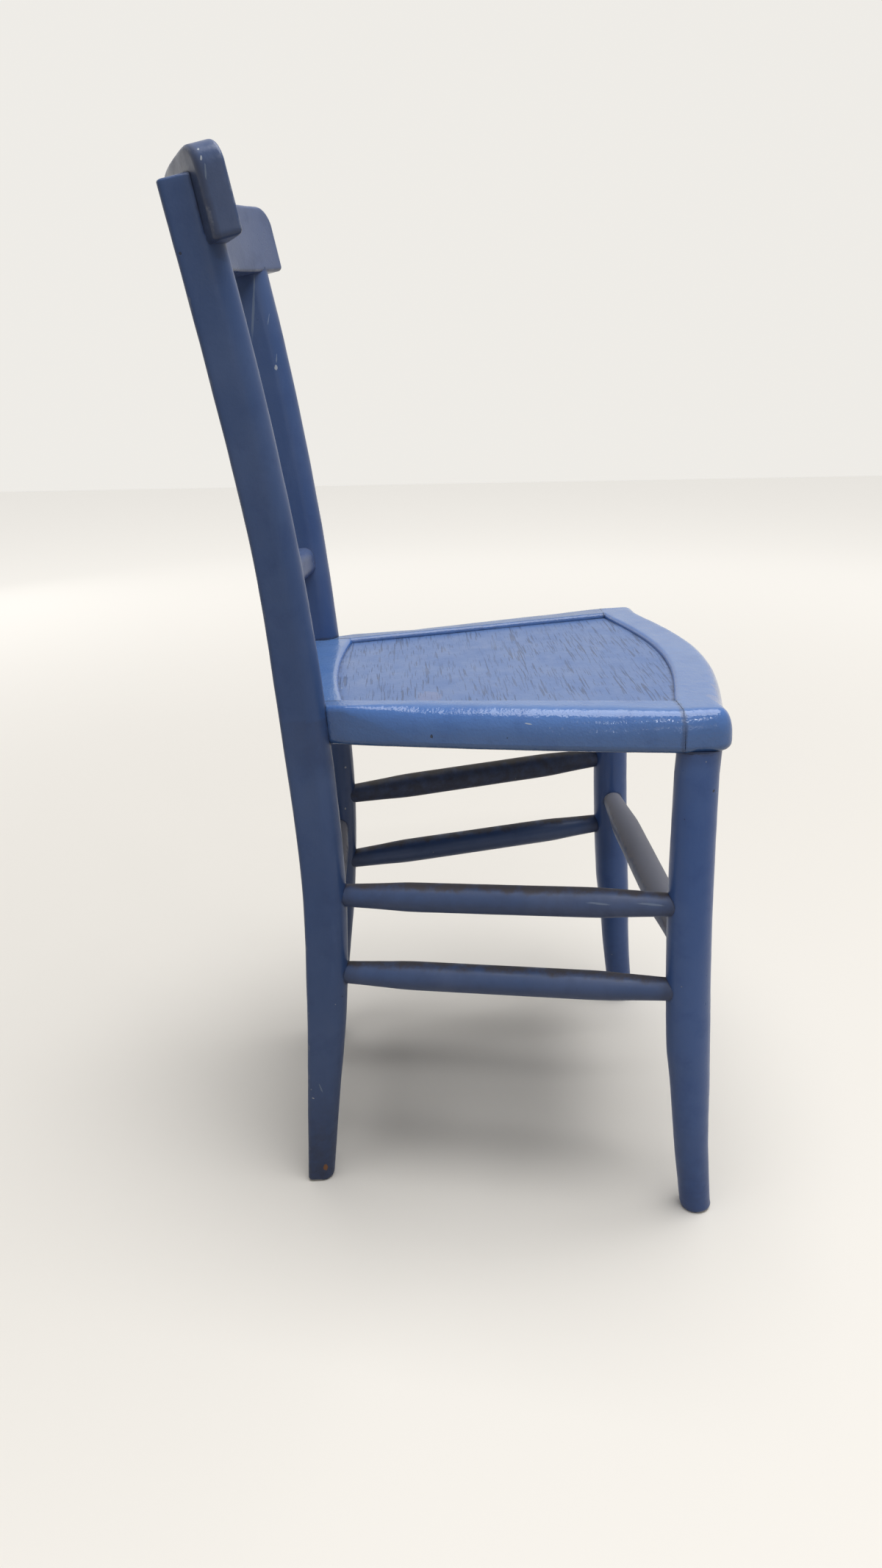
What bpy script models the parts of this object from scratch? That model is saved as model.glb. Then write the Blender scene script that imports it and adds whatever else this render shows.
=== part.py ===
# Wooden bistro side chair in worn blue paint.
# The chair faces -Y. X is across, with the chair the same on both sides of X = 0. Z is up from the floor.
# Lengths along Y are counted from the joint between the front rail and the side rails of the seat.
# A parent empty then moves the chair so that Y = 0 is midway between its front and its back.

import math

import bmesh
import bpy
from mathutils import Matrix, Vector

# Clearance between pieces that meet
GAP = 0.0003

# Seat frame, measured in the seat's own plane
SEAT_HEIGHT = 0.4468
SEAT_SLOPE = math.radians(1.85)
RAIL_THICKNESS = 0.032
FRAME_HALF_WIDTH = 0.194
FRONT_RAIL_WIDTH = 0.0385
FRONT_BOW = 0.0235
FRONT_BOW_HALF = FRAME_HALF_WIDTH - 0.029
FRONT_BOW_POWER = 1.3
FRONT_CORNER_RADIUS = 0.0135
OPENING_FRONT_HALF = FRAME_HALF_WIDTH - 0.037
OPENING_REAR_HALF = 0.106
OPENING_DEPTH = 0.250
REAR_BOW = 0.008
SIDE_BOW = 0.0035
SIDE_REAR_HALF = 0.128
BACK_RAIL_SHOULDER = 0.0125
BACK_RAIL_REAR = OPENING_DEPTH + 0.040
BACK_RAIL_WING = 0.0045
SIDE_RAIL_OVERRUN = 0.024
NOSE_TOP_RADIUS = 0.012
NOSE_BOTTOM_RADIUS = 0.006
NOSE_STOP_RADIUS = 0.004
NOSE_STOP_LENGTH = 0.075
BEAD_RADIUS = 0.0040
EASED_EDGE = 0.003
RAIL_ALLOWANCE = 0.004

# Two points this near count as one
SAME_PLACE = 0.00001

# Plywood panel in the groove of the four rails
PANEL_THICKNESS = 0.005
PANEL_RECESS = 0.0045
PANEL_TONGUE = 0.006

# Rear posts: height, front face behind the seat's opening, depth, centre to middle of chair, width
POST_TOP = 0.8025
POST_STATIONS = (
    (0.000, 0.0260, 0.0225, 0.1180, 0.0220),
    (0.086, 0.0170, 0.0275, 0.1190, 0.0255),
    (0.186, 0.0065, 0.0335, 0.1200, 0.0290),
    (0.296, 0.0038, 0.0348, 0.1205, 0.0300),
    (0.436, 0.0130, 0.0355, 0.1210, 0.0300),
    (0.556, 0.0264, 0.0330, 0.1265, 0.0290),
    (0.676, 0.0457, 0.0335, 0.1335, 0.0275),
    (POST_TOP, 0.0712, 0.0325, 0.1400, 0.0260),
)
POST_ROUND_SHARE = 0.45
POST_BACK_EDGE = 0.0035
POST_TOP_EASE = 0.002
FOOT_EASE = 0.0035
POST_STEP = 0.004
LEVEL_FOOT_HEIGHT = 0.1

# Front legs: height, centre line forward of the joint, radius
LEG_STATIONS = (
    (0.000, -0.0370, 0.0128),
    (0.068, -0.0295, 0.0143),
    (0.119, -0.0255, 0.0160),
    (0.161, -0.0216, 0.0175),
    (0.276, -0.0160, 0.0174),
    (0.396, -0.0142, 0.0166),
)
LEG_HALF_SPACING = FRAME_HALF_WIDTH - 0.015
LEG_FOOT_HALF_SPACING = LEG_HALF_SPACING - 0.002
LEG_TENON_RADIUS = 0.011
LEG_TENON_LENGTH = 0.015

# Turned stretchers
SOCKET_DEPTH = 0.015
SIDE_END_RADIUS = 0.0087
SIDE_SWELL_RADIUS = 0.0120
SIDE_SWELL_START = 0.062
UPPER_REAR_HEIGHT = 0.2763
UPPER_FRONT_HEIGHT = 0.2875
LOWER_REAR_HEIGHT = 0.2050
LOWER_FRONT_HEIGHT = 0.2128
CROSS_HEIGHT = 0.2445
FRONT_END_RADIUS = 0.0090
FRONT_SWELL_RADIUS = 0.0135
REAR_END_RADIUS = 0.0087
REAR_SWELL_RADIUS = 0.0120
FRONT_SWELL_START = 0.085
REAR_SWELL_START = 0.064
SOCKET_MOUTH = 0.020

# Crest rail, measured on its own leaning plane
CREST_HALF_LENGTH = 0.165
CREST_HEIGHT = 0.0565
CREST_THICKNESS = 0.0195
CREST_BOW = 0.039
CREST_FRONT = OPENING_DEPTH + 0.0505
CREST_BOTTOM = POST_TOP - 0.0370
CREST_RAKE = math.radians(12.0)
CREST_TOP_CORNER = 0.017
CREST_BOTTOM_CORNER = 0.004
CREST_EASE = 0.0030

# Stay between the posts
STAY_HEIGHT = 0.513
STAY_DEPTH = 0.026
STAY_THICKNESS = 0.017
STAY_BOW = 0.013
STAY_FRONT = OPENING_DEPTH + 0.0315
STAY_RAKE = math.radians(7.0)
STAY_NOSE = 0.0090
STAY_TENON_LENGTH = 0.012
STAY_TENON_THICKNESS = 0.008
STAY_TENON_HEIGHT = 0.018
STAY_TENON_OFFSET = 0.001
STAY_OVERRUN = 0.002

# Tenons and dowels of the seat and the crest
SIDE_TENON_LENGTH = 0.016
SIDE_TENON_THICKNESS = 0.010
SIDE_TENON_CENTRE = 0.119
BACK_TENON_LENGTH = 0.012
BACK_TENON_THICKNESS = 0.009
BACK_TENON_CENTRE = OPENING_DEPTH + 0.0365
TENON_ROOT = 0.006
TENON_TOP = 0.007
TENON_BOTTOM = 0.027
DOWEL_RADIUS = 0.0035
DOWEL_LENGTH = 0.024
DOWEL_DROP = 0.009
DOWEL_INSET = 0.013
DOWEL_SPACING = 0.015
CREST_DOWEL_LENGTH = 0.018
CREST_DOWEL_HEIGHT = 0.019

# Fineness of the round shapes
ROD_STEPS = 16
LEG_BEVEL_RESOLUTION = 8
POST_RINGS = 22
ROUND_STEPS = 5

CHAIR = "peeling_paint_chair"


def material(name, colour, roughness, metallic=0.0):
    made = bpy.data.materials.new(name)
    made.use_nodes = True
    shader = made.node_tree.nodes["Principled BSDF"]
    shader.inputs["Base Color"].default_value = (*colour, 1.0)
    shader.inputs["Roughness"].default_value = roughness
    shader.inputs["Metallic"].default_value = metallic
    return made


def add_object(name, mesh, collection, parent=None):
    made = bpy.data.objects.new(name, mesh)
    collection.objects.link(made)
    made.parent = parent
    return made


def as_cutter(tool):
    tool.hide_render = True
    tool.display_type = "WIRE"
    return tool


def boolean(target, tool, operation):
    step = target.modifiers.new(tool.name, "BOOLEAN")
    step.operation = operation
    step.solver = "EXACT"
    step.object = tool


def smooth(mesh):
    mesh.shade_smooth()
    mesh.set_sharp_from_angle(angle=math.radians(40))


def loft(name, rings, collection, parent=None):
    # Closed solid through rings that have the same number of points
    shape = bmesh.new()
    loops = [[shape.verts.new(point) for point in ring] for ring in rings]
    count = len(loops[0])
    for lower, upper in zip(loops, loops[1:]):
        for index in range(count):
            following = (index + 1) % count
            shape.faces.new((lower[index], lower[following], upper[following], upper[index]))
    shape.faces.new(loops[0])
    shape.faces.new(loops[-1])
    bmesh.ops.recalc_face_normals(shape, faces=shape.faces)
    mesh = bpy.data.meshes.new(name)
    shape.to_mesh(mesh)
    shape.free()
    smooth(mesh)
    return add_object(name, mesh, collection, parent)


def curve_to_mesh(curve_object, name, collection, parent=None):
    # The curve's caps are loose until their points are merged, and each one becomes a single face
    graph = bpy.context.evaluated_depsgraph_get()
    mesh = bpy.data.meshes.new_from_object(curve_object.evaluated_get(graph))
    shape = bmesh.new()
    shape.from_mesh(mesh)
    bmesh.ops.delete(shape, geom=[face for face in shape.faces if len(face.verts) != 4], context="FACES_ONLY")
    bmesh.ops.remove_doubles(shape, verts=shape.verts, dist=0.00001)
    bmesh.ops.delete(shape, geom=[edge for edge in shape.edges if edge.is_wire], context="EDGES")
    bmesh.ops.holes_fill(shape, edges=shape.edges, sides=0)
    bmesh.ops.recalc_face_normals(shape, faces=shape.faces)
    shape.to_mesh(mesh)
    shape.free()
    bpy.data.objects.remove(curve_object)
    mesh.name = name
    return add_object(name, mesh, collection, parent)


def slab(name, outline, thickness, collection, parent=None):
    # Flat outline, half of its thickness to each side of its own XY plane
    curve = bpy.data.curves.new(name, "CURVE")
    curve.dimensions = "2D"
    curve.fill_mode = "BOTH"
    curve.extrude = thickness / 2
    spline = curve.splines.new("POLY")
    spline.points.add(len(outline) - 1)
    for point, (x, y) in zip(spline.points, outline):
        point.co = (x, y, 0, 1)
    spline.use_cyclic_u = True
    drawn = add_object(name + "_outline", curve, collection)
    return curve_to_mesh(drawn, name, collection, parent)


def turned(name, profile, collection, parent=None):
    # Profile of (radius, height) from top to bottom, swept round the local Z axis
    mesh = bpy.data.meshes.new(name)
    points = [(radius, 0, height) for radius, height in profile]
    edges = [(index, index + 1) for index in range(len(points) - 1)]
    mesh.from_pydata(points, edges, [])
    made = add_object(name, mesh, collection, parent)
    sweep = made.modifiers.new("Turning", "SCREW")
    sweep.axis = "Z"
    sweep.steps = ROD_STEPS
    sweep.render_steps = ROD_STEPS
    sweep.use_merge_vertices = True
    sweep.merge_threshold = 0.00001
    sweep.use_smooth_shade = True
    return made


def rod(name, radius, start, end, collection, parent=None):
    length = (end - start).length
    made = turned(name, [(0, length), (radius, length), (radius, 0), (0, 0)], collection, parent)
    place_along(made, start, end)
    return made


def box(name, low, high, collection, parent=None):
    bpy.ops.mesh.primitive_cube_add(size=1)
    made = bpy.context.object
    made.name = name
    for owner in list(made.users_collection):
        owner.objects.unlink(made)
    collection.objects.link(made)
    size = Vector(high) - Vector(low)
    centre = (Vector(high) + Vector(low)) / 2
    made.data.transform(Matrix.Translation(centre) @ Matrix.Diagonal((*size, 1)))
    made.parent = parent
    return made


def place_along(made, start, end):
    # Local Z runs from start to end
    made.location = start
    made.rotation_mode = "QUATERNION"
    made.rotation_quaternion = (end - start).to_track_quat("Z", "Y")


def edge_bevel(target, width, segments):
    step = target.modifiers.new("Eased edges", "BEVEL")
    step.width = width
    step.segments = segments
    step.limit_method = "ANGLE"
    step.angle_limit = math.radians(40)


def arc(centre, radius, first, last, steps):
    turns = [math.radians(first + (last - first) * step / steps) for step in range(steps + 1)]
    return [(centre[0] + radius * math.cos(turn), centre[1] + radius * math.sin(turn)) for turn in turns]


def between(first, last, steps):
    return [first + (last - first) * step / steps for step in range(steps + 1)]


def along(stations, height):
    # Smooth curve through the stations, as a tuple of the values after the height
    last = len(stations) - 2
    index = max(i for i in range(last + 1) if i == 0 or stations[i][0] <= height)
    low, high = stations[index], stations[index + 1]
    before = stations[max(index - 1, 0)]
    after = stations[min(index + 2, last + 1)]
    span = high[0] - low[0]
    t = (height - low[0]) / span
    values = []
    for column in range(1, len(low)):
        rise = span * (high[column] - before[column]) / (high[0] - before[0])
        fall = span * (after[column] - low[column]) / (after[0] - low[0])
        values.append((2 * t**3 - 3 * t**2 + 1) * low[column] + (t**3 - 2 * t**2 + t) * rise
                      + (3 * t**2 - 2 * t**3) * high[column] + (t**3 - t**2) * fall)
    return tuple(values)


# Seat frame

def front_wave(x):
    return FRONT_BOW * max(0.0, 1 - (x / FRONT_BOW_HALF) ** 2) ** FRONT_BOW_POWER


def opening_front(x):
    return front_wave(OPENING_FRONT_HALF) - front_wave(x)


def opening_side(y):
    return OPENING_FRONT_HALF + (OPENING_REAR_HALF - OPENING_FRONT_HALF) * y / OPENING_DEPTH


def outer_front(x):
    return opening_front(x) - FRONT_RAIL_WIDTH


def outer_side(y):
    share = y / OPENING_DEPTH
    straight = FRAME_HALF_WIDTH + (SIDE_REAR_HALF - FRAME_HALF_WIDTH) * share
    return straight + 4 * SIDE_BOW * share * (1 - share)


def opening_outline(grow):
    front_half = opening_side(-grow) + grow
    rear_half = opening_side(OPENING_DEPTH + grow) + grow
    front = [(x, min(opening_front(x), 0) - grow) for x in between(-front_half, front_half, 20)]
    rear = [(x, OPENING_DEPTH + grow + REAR_BOW * (1 - (x / rear_half) ** 2))
            for x in between(rear_half, -rear_half, 10)]
    return front + rear


def opening_tool(tools, seat):
    # Everything inside the frame, flared at the top so that it leaves a rounded bead on the rails
    rings = [(0.0, -2 * RAIL_THICKNESS), (0.0, -BEAD_RADIUS)]
    for turn in (30, 60, 90):
        flare = math.radians(turn)
        rings.append((BEAD_RADIUS * (1 - math.cos(flare)), -BEAD_RADIUS * (1 - math.sin(flare))))
    rings.append((BEAD_RADIUS, RAIL_THICKNESS))
    levels = [[Vector((x, y, z)) for x, y in opening_outline(grow)] for grow, z in rings]
    return as_cutter(loft("seat_opening", levels, tools, seat))


def front_rail_outline():
    edge = FRAME_HALF_WIDTH - FRONT_CORNER_RADIUS
    face = outer_front(FRAME_HALF_WIDTH)
    centre = face + FRONT_CORNER_RADIUS
    left = arc((-edge, centre), FRONT_CORNER_RADIUS, 180, 270, ROUND_STEPS)
    wave = [(x, outer_front(x)) for x in between(-FRONT_BOW_HALF, FRONT_BOW_HALF, 24)]
    right = arc((edge, centre), FRONT_CORNER_RADIUS, 270, 360, ROUND_STEPS)
    return [(-FRAME_HALF_WIDTH, 0)] + left + wave + right + [(FRAME_HALF_WIDTH, 0)]


def rounded_chain(made, width, segments, wanted):
    # Rounds the edges whose two ends satisfy the test
    shape = bmesh.new()
    shape.from_mesh(made.data)
    edges = [edge for edge in shape.edges if wanted(edge.verts[0].co, edge.verts[1].co)]
    bmesh.ops.bevel(shape, geom=edges, offset=width, segments=segments, profile=0.5,
                    affect="EDGES", offset_type="OFFSET")
    shape.to_mesh(made.data)
    shape.free()


def seat_front_rail(parts, seat, cuts):
    rail = slab("seat_front_rail", front_rail_outline(), RAIL_THICKNESS, parts, seat)
    rail.data.transform(Matrix.Translation((0, 0, -RAIL_THICKNESS / 2)))

    def facing_out(first, last):
        return min(first.y, last.y) < -SAME_PLACE

    rounded_chain(rail, NOSE_TOP_RADIUS, 4,
                  lambda a, b: min(a.z, b.z) > -SAME_PLACE and facing_out(a, b))
    rounded_chain(rail, NOSE_BOTTOM_RADIUS, 2,
                  lambda a, b: max(a.z, b.z) < SAME_PLACE - RAIL_THICKNESS and facing_out(a, b))
    smooth(rail.data)
    for cut in cuts:
        boolean(rail, cut, "DIFFERENCE")
    return rail


def side_rail_ring(side, y):
    # Flat top, bull nose that sharpens towards the post, eased underside
    inner = opening_side(y) - RAIL_ALLOWANCE
    outer = outer_side(y)
    stop = min(1.0, max(0.0, (y - (OPENING_DEPTH - NOSE_STOP_LENGTH)) / NOSE_STOP_LENGTH))
    blend = stop * stop * (3 - 2 * stop)
    nose = NOSE_TOP_RADIUS + (NOSE_STOP_RADIUS - NOSE_TOP_RADIUS) * blend
    top = arc((outer - nose, -nose), nose, 90, 0, 4)
    lower_edge = -RAIL_THICKNESS + NOSE_BOTTOM_RADIUS
    under = arc((outer - NOSE_BOTTOM_RADIUS, lower_edge), NOSE_BOTTOM_RADIUS, 0, -90, 2)
    points = [(inner, -RAIL_THICKNESS), (inner, 0)] + top + under
    return [Vector((side * x, y, z)) for x, z in points]


def seat_side_rail(name, side, parts, tools, seat, cuts):
    stations = between(GAP, OPENING_DEPTH + SIDE_RAIL_OVERRUN, 16)
    rail = loft(name, [side_rail_ring(side, y) for y in stations], parts, seat)
    for cut in cuts:
        boolean(rail, cut, "DIFFERENCE")
    tenon = side_tenon(name + "_tenon", side, 0.0, tools, seat)
    boolean(rail, tenon, "UNION")
    return rail


def side_tenon(name, side, grow, tools, seat):
    root = OPENING_DEPTH + TENON_ROOT
    tip = post_front_at_seat() + SIDE_TENON_LENGTH + grow
    half = SIDE_TENON_THICKNESS / 2 + grow
    low = (side * SIDE_TENON_CENTRE - half, root, -TENON_BOTTOM - grow)
    high = (side * SIDE_TENON_CENTRE + half, tip, -TENON_TOP + grow)
    return as_cutter(box(name, low, high, tools, seat))


def back_tenon(name, side, grow, tools, seat):
    inner = side * (OPENING_REAR_HALF - 2 * TENON_ROOT)
    tip = side * (OPENING_REAR_HALF + BACK_TENON_LENGTH + grow)
    half = BACK_TENON_THICKNESS / 2 + grow
    low = (min(inner, tip), BACK_TENON_CENTRE - half, -TENON_BOTTOM - grow)
    high = (max(inner, tip), BACK_TENON_CENTRE + half, -TENON_TOP + grow)
    return as_cutter(box(name, low, high, tools, seat))


def back_rail_outline(grow):
    # Runs in front between the side rails, and behind that up to the posts
    front_y = OPENING_DEPTH - RAIL_ALLOWANCE
    shoulder_y = OPENING_DEPTH + BACK_RAIL_SHOULDER - grow
    wing = OPENING_REAR_HALF + BACK_RAIL_WING + grow
    right = [(opening_side(front_y) - GAP + grow, front_y),
             (opening_side(shoulder_y) - GAP + grow, shoulder_y),
             (wing, shoulder_y), (wing, BACK_RAIL_REAR + grow)]
    left = [(-x, y) for x, y in reversed(right)]
    return right + left


def seat_back_rail(parts, tools, seat, cuts):
    rail = slab("seat_back_rail", back_rail_outline(0.0), RAIL_THICKNESS, parts, seat)
    rail.data.transform(Matrix.Translation((0, 0, -RAIL_THICKNESS / 2)))

    rear = BACK_RAIL_REAR - SAME_PLACE
    rounded_chain(rail, EASED_EDGE, 2, lambda a, b: min(a.y, b.y) > rear and min(a.z, b.z) > -SAME_PLACE)
    smooth(rail.data)
    for cut in cuts:
        boolean(rail, cut, "DIFFERENCE")
    for side, word in ((1, "left"), (-1, "right")):
        boolean(rail, back_tenon("back_tenon_" + word, side, 0.0, tools, seat), "UNION")
    return rail


def seat_panel(parts, seat):
    panel = slab("seat_panel", opening_outline(PANEL_TONGUE), PANEL_THICKNESS, parts, seat)
    panel.location = (0, 0, -PANEL_RECESS - PANEL_THICKNESS / 2)
    return panel


def panel_groove(tools, seat):
    groove = slab("panel_groove", opening_outline(PANEL_TONGUE + GAP), PANEL_THICKNESS + 2 * GAP,
                  tools, seat)
    groove.location = (0, 0, -PANEL_RECESS - PANEL_THICKNESS / 2)
    return as_cutter(groove)


# Rear posts

def post_at(height):
    behind, depth, centre, width = along(POST_STATIONS, height)
    return OPENING_DEPTH + behind, depth, centre, width


def post_front_at_seat():
    return post_at(SEAT_HEIGHT - RAIL_THICKNESS / 2)[0]


def post_section(width, depth):
    # Round in front, flat on both sides and behind, with eased rear edges
    half = width / 2
    nose = depth * POST_ROUND_SHARE
    start = -depth / 2 + nose
    front = [(half * math.cos(turn), start - nose * math.sin(turn))
             for turn in between(0, math.pi, 10)]
    edge = POST_BACK_EDGE
    rear_left = arc((-half + edge, depth / 2 - edge), edge, 180, 90, 2)
    rear_right = arc((half - edge, depth / 2 - edge), edge, 90, 0, 2)
    return front + rear_left + rear_right


def post_ring(side, height, inset, grow, raise_by=0.0):
    # A ring square to the post, except that it levels out at the foot, which stands flat
    front, depth, centre, width = post_at(height)
    high = min(height + POST_STEP, POST_STATIONS[-1][0])
    low = max(height - POST_STEP, 0)
    above, below = post_at(high), post_at(low)
    slope = (above[0] + above[1] / 2 - below[0] - below[1] / 2) / (high - low)
    lean = math.atan(slope) * min(1.0, height / LEVEL_FOOT_HEIGHT)
    points = []
    for across, deep in post_section(width - 2 * inset + 2 * grow, depth - 2 * inset + 2 * grow):
        y = front + depth / 2 + deep * math.cos(lean) + raise_by * math.sin(lean)
        z = height - deep * math.sin(lean) + raise_by * math.cos(lean)
        points.append(Vector((side * (centre + across), y, z)))
    return points


def post_blank(name, side, grow, collection, parent):
    top = POST_STATIONS[-1][0]
    foot = [(0.0, FOOT_EASE), (0.0012, FOOT_EASE * 0.4), (0.0040, 0.0)]
    shaft = [(height, 0.0) for height in between(0.02, top - POST_TOP_EASE, POST_RINGS)]
    rings = [post_ring(side, height, inset, grow) for height, inset in foot + shaft]
    rings.append(post_ring(side, top - POST_TOP_EASE, POST_TOP_EASE, grow, POST_TOP_EASE))
    return loft(name, rings, collection, parent)


def rear_post(name, side, parts, parent, cuts):
    post = post_blank(name, side, 0.0, parts, parent)
    for cut in cuts:
        boolean(post, cut, "DIFFERENCE")
    return post


# Front legs

def seat_point(x, y, z):
    turned_by = Matrix.Rotation(-SEAT_SLOPE, 4, "X")
    return Matrix.Translation((0, 0, SEAT_HEIGHT)) @ turned_by @ Vector((x, y, z))


def leg_centre(side, height):
    y, _ = along(LEG_STATIONS, min(height, LEG_STATIONS[-1][0]))
    share = height / LEG_STATIONS[-1][0]
    x = LEG_FOOT_HALF_SPACING + (LEG_HALF_SPACING - LEG_FOOT_HALF_SPACING) * share
    return Vector((side * x, y, height))


def leg_top(side, drop):
    # Point on the leg's axis under the front rail, by a depth below the rail's underside
    return seat_point(side * LEG_HALF_SPACING, LEG_STATIONS[-1][1], -RAIL_THICKNESS - drop)


def front_leg(name, side, parts, tools, parent, cuts):
    curve = bpy.data.curves.new(name, "CURVE")
    curve.dimensions = "3D"
    curve.bevel_depth = 1.0
    curve.bevel_resolution = LEG_BEVEL_RESOLUTION
    curve.use_fill_caps = True
    foot_radius = LEG_STATIONS[0][2]
    foot = leg_centre(side, 0)
    points = [(foot, foot_radius - FOOT_EASE)]
    for height, share in ((0.0008, 0.55), (0.0020, 0.22), (0.0040, 0.0)):
        points.append((Vector((foot.x, foot.y, height)), foot_radius - FOOT_EASE * share))
    for height in between(0.02, LEG_STATIONS[-1][0], 13):
        points.append((leg_centre(side, height), along(LEG_STATIONS, height)[1]))
    top_radius = LEG_STATIONS[-1][2]
    points.append((leg_top(side, 0.010), top_radius))
    points.append((leg_top(side, GAP), top_radius))
    spline = curve.splines.new("POLY")
    spline.points.add(len(points) - 1)
    for target, (place, radius) in zip(spline.points, points):
        target.co = (*place, 1)
        target.radius = radius
    drawn = add_object(name + "_axis", curve, tools)
    leg = curve_to_mesh(drawn, name, parts, parent)
    smooth(leg.data)
    tenon = rod(name + "_tenon", LEG_TENON_RADIUS, leg_top(side, 0.005),
                leg_top(side, -LEG_TENON_LENGTH), tools, parent)
    boolean(leg, as_cutter(tenon), "UNION")
    for cut in cuts:
        boolean(leg, cut, "DIFFERENCE")
    return leg


# Stretchers

def stretcher_profile(length, end_radius, swell_radius, swell_start):
    # Thin ends, a soft shoulder, and a long swelled middle that is the same from both ends
    start = SOCKET_DEPTH + swell_start
    rise = [(0.0, 0.0), (0.30, 0.30), (0.62, 0.66), (0.86, 0.95), (1.0, 1.0)]
    half = [(0.0, 0.0), (end_radius, 0.0), (end_radius, SOCKET_DEPTH)]
    for along_share, radius_share in rise[1:]:
        half.append((end_radius + (swell_radius - end_radius) * radius_share,
                     SOCKET_DEPTH + (start - SOCKET_DEPTH) * along_share))
    other = [(radius, length - height) for radius, height in half]
    return other + list(reversed(half))


def stretcher(name, start, end, radii, swell_start, parts, parent):
    direction = (end - start).normalized()
    bottom = start - direction * SOCKET_DEPTH
    top = end + direction * SOCKET_DEPTH
    profile = stretcher_profile((top - bottom).length, radii[0], radii[1], swell_start)
    made = turned(name, profile, parts, parent)
    place_along(made, bottom, top)
    return made


def stretcher_socket(name, start, end, radius, tools, parent):
    # Bores for both ends of a stretcher, a clearance wider and deeper than the ends
    direction = (end - start).normalized()
    reach = SOCKET_DEPTH + GAP
    mouth = direction * SOCKET_MOUTH
    first = rod(name + "_a", radius + GAP, start - direction * reach, start + mouth, tools, parent)
    last = rod(name + "_b", radius + GAP, end - mouth, end + direction * reach, tools, parent)
    return as_cutter(first), as_cutter(last)


def post_face(side, height):
    front, _, centre, _ = post_at(height)
    return Vector((side * centre, front, height))


def post_inner(side, height):
    front, depth, centre, width = post_at(height)
    return Vector((side * (centre - width / 2), front + depth * 0.5, height))


def leg_back(side, height):
    centre = leg_centre(side, height)
    return centre + Vector((0, along(LEG_STATIONS, height)[1], 0))


def leg_inner(side, height):
    centre = leg_centre(side, height)
    return centre - Vector((side * along(LEG_STATIONS, height)[1], 0, 0))


# Crest rail and stay

def bow(x, half, depth):
    return depth * (1 - (x / half) ** 2)


def crest_front_view(grow):
    half = CREST_HALF_LENGTH + grow
    top = CREST_HEIGHT + grow
    high = CREST_TOP_CORNER
    low = CREST_BOTTOM_CORNER
    points = arc((half - low, -grow + low), low, 270, 360, 2)
    points += arc((half - high, top - high), high, 0, 90, ROUND_STEPS)
    points += arc((-half + high, top - high), high, 90, 180, ROUND_STEPS)
    points += arc((-half + low, -grow + low), low, 180, 270, 2)
    return points


def crest_plan(grow):
    half = CREST_HALF_LENGTH + 0.01
    front = [(x, bow(x, CREST_HALF_LENGTH, CREST_BOW) - grow) for x in between(-half, half, 20)]
    rear = [(x, bow(x, CREST_HALF_LENGTH, CREST_BOW) + CREST_THICKNESS + grow)
            for x in between(half, -half, 20)]
    return front + rear


def crest_blank(name, grow, collection, tools, lean):
    # The plan sawn from a thick board, kept where the front view's outline is
    rail = slab(name, crest_plan(grow), 4 * CREST_HEIGHT, collection, lean)
    view = slab(name + "_view", crest_front_view(grow), 8 * CREST_BOW, tools, lean)
    view.data.transform(Matrix.Rotation(math.radians(90), 4, "X"))
    boolean(rail, as_cutter(view), "INTERSECT")
    return rail


def crest_dowel_ends(side):
    # Along the crest's thickness, half in the crest and half in the post
    _, _, centre, _ = post_at(CREST_BOTTOM)
    x = side * centre
    y = bow(x, CREST_HALF_LENGTH, CREST_BOW) + CREST_THICKNESS
    half = CREST_DOWEL_LENGTH / 2
    return Vector((x, y - half, CREST_DOWEL_HEIGHT)), Vector((x, y + half, CREST_DOWEL_HEIGHT))


def stay_rail(parts, tools, lean, post_rooms):
    inner = post_inner(1, STAY_HEIGHT).x + STAY_OVERRUN
    front = [(x, bow(x, inner, STAY_BOW)) for x in between(-inner, inner, 16)]
    rear = [(x, y + STAY_THICKNESS) for x, y in reversed(front)]
    stay = slab("stay_rail", front + rear, STAY_DEPTH, parts, lean)

    def nose(point):
        return abs(point.y - bow(point.x, inner, STAY_BOW)) < SAME_PLACE

    rounded_chain(stay, STAY_NOSE, 4, lambda a, b: nose(a) and nose(b) and a.z * b.z > 0)
    smooth(stay.data)
    for room in post_rooms:
        boolean(stay, room, "DIFFERENCE")
    for side, word in ((1, "left"), (-1, "right")):
        boolean(stay, stay_tenon("stay_tenon_" + word, side, 0.0, tools, lean), "UNION")
    return stay


def stay_tenon(name, side, grow, tools, lean):
    inner = post_inner(1, STAY_HEIGHT).x
    root = side * (inner - TENON_ROOT)
    tip = side * (inner + STAY_TENON_LENGTH + grow)
    middle = STAY_THICKNESS / 2 + STAY_TENON_OFFSET
    half = STAY_TENON_THICKNESS / 2 + grow
    low = (min(root, tip), middle - half, -STAY_TENON_HEIGHT / 2 - grow)
    high = (max(root, tip), middle + half, STAY_TENON_HEIGHT / 2 + grow)
    return as_cutter(box(name, low, high, tools, lean))


def empty(name, location, rotation, collection, parent=None):
    made = add_object(name, None, collection, parent)
    made.location = location
    made.rotation_euler = rotation
    return made


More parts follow.
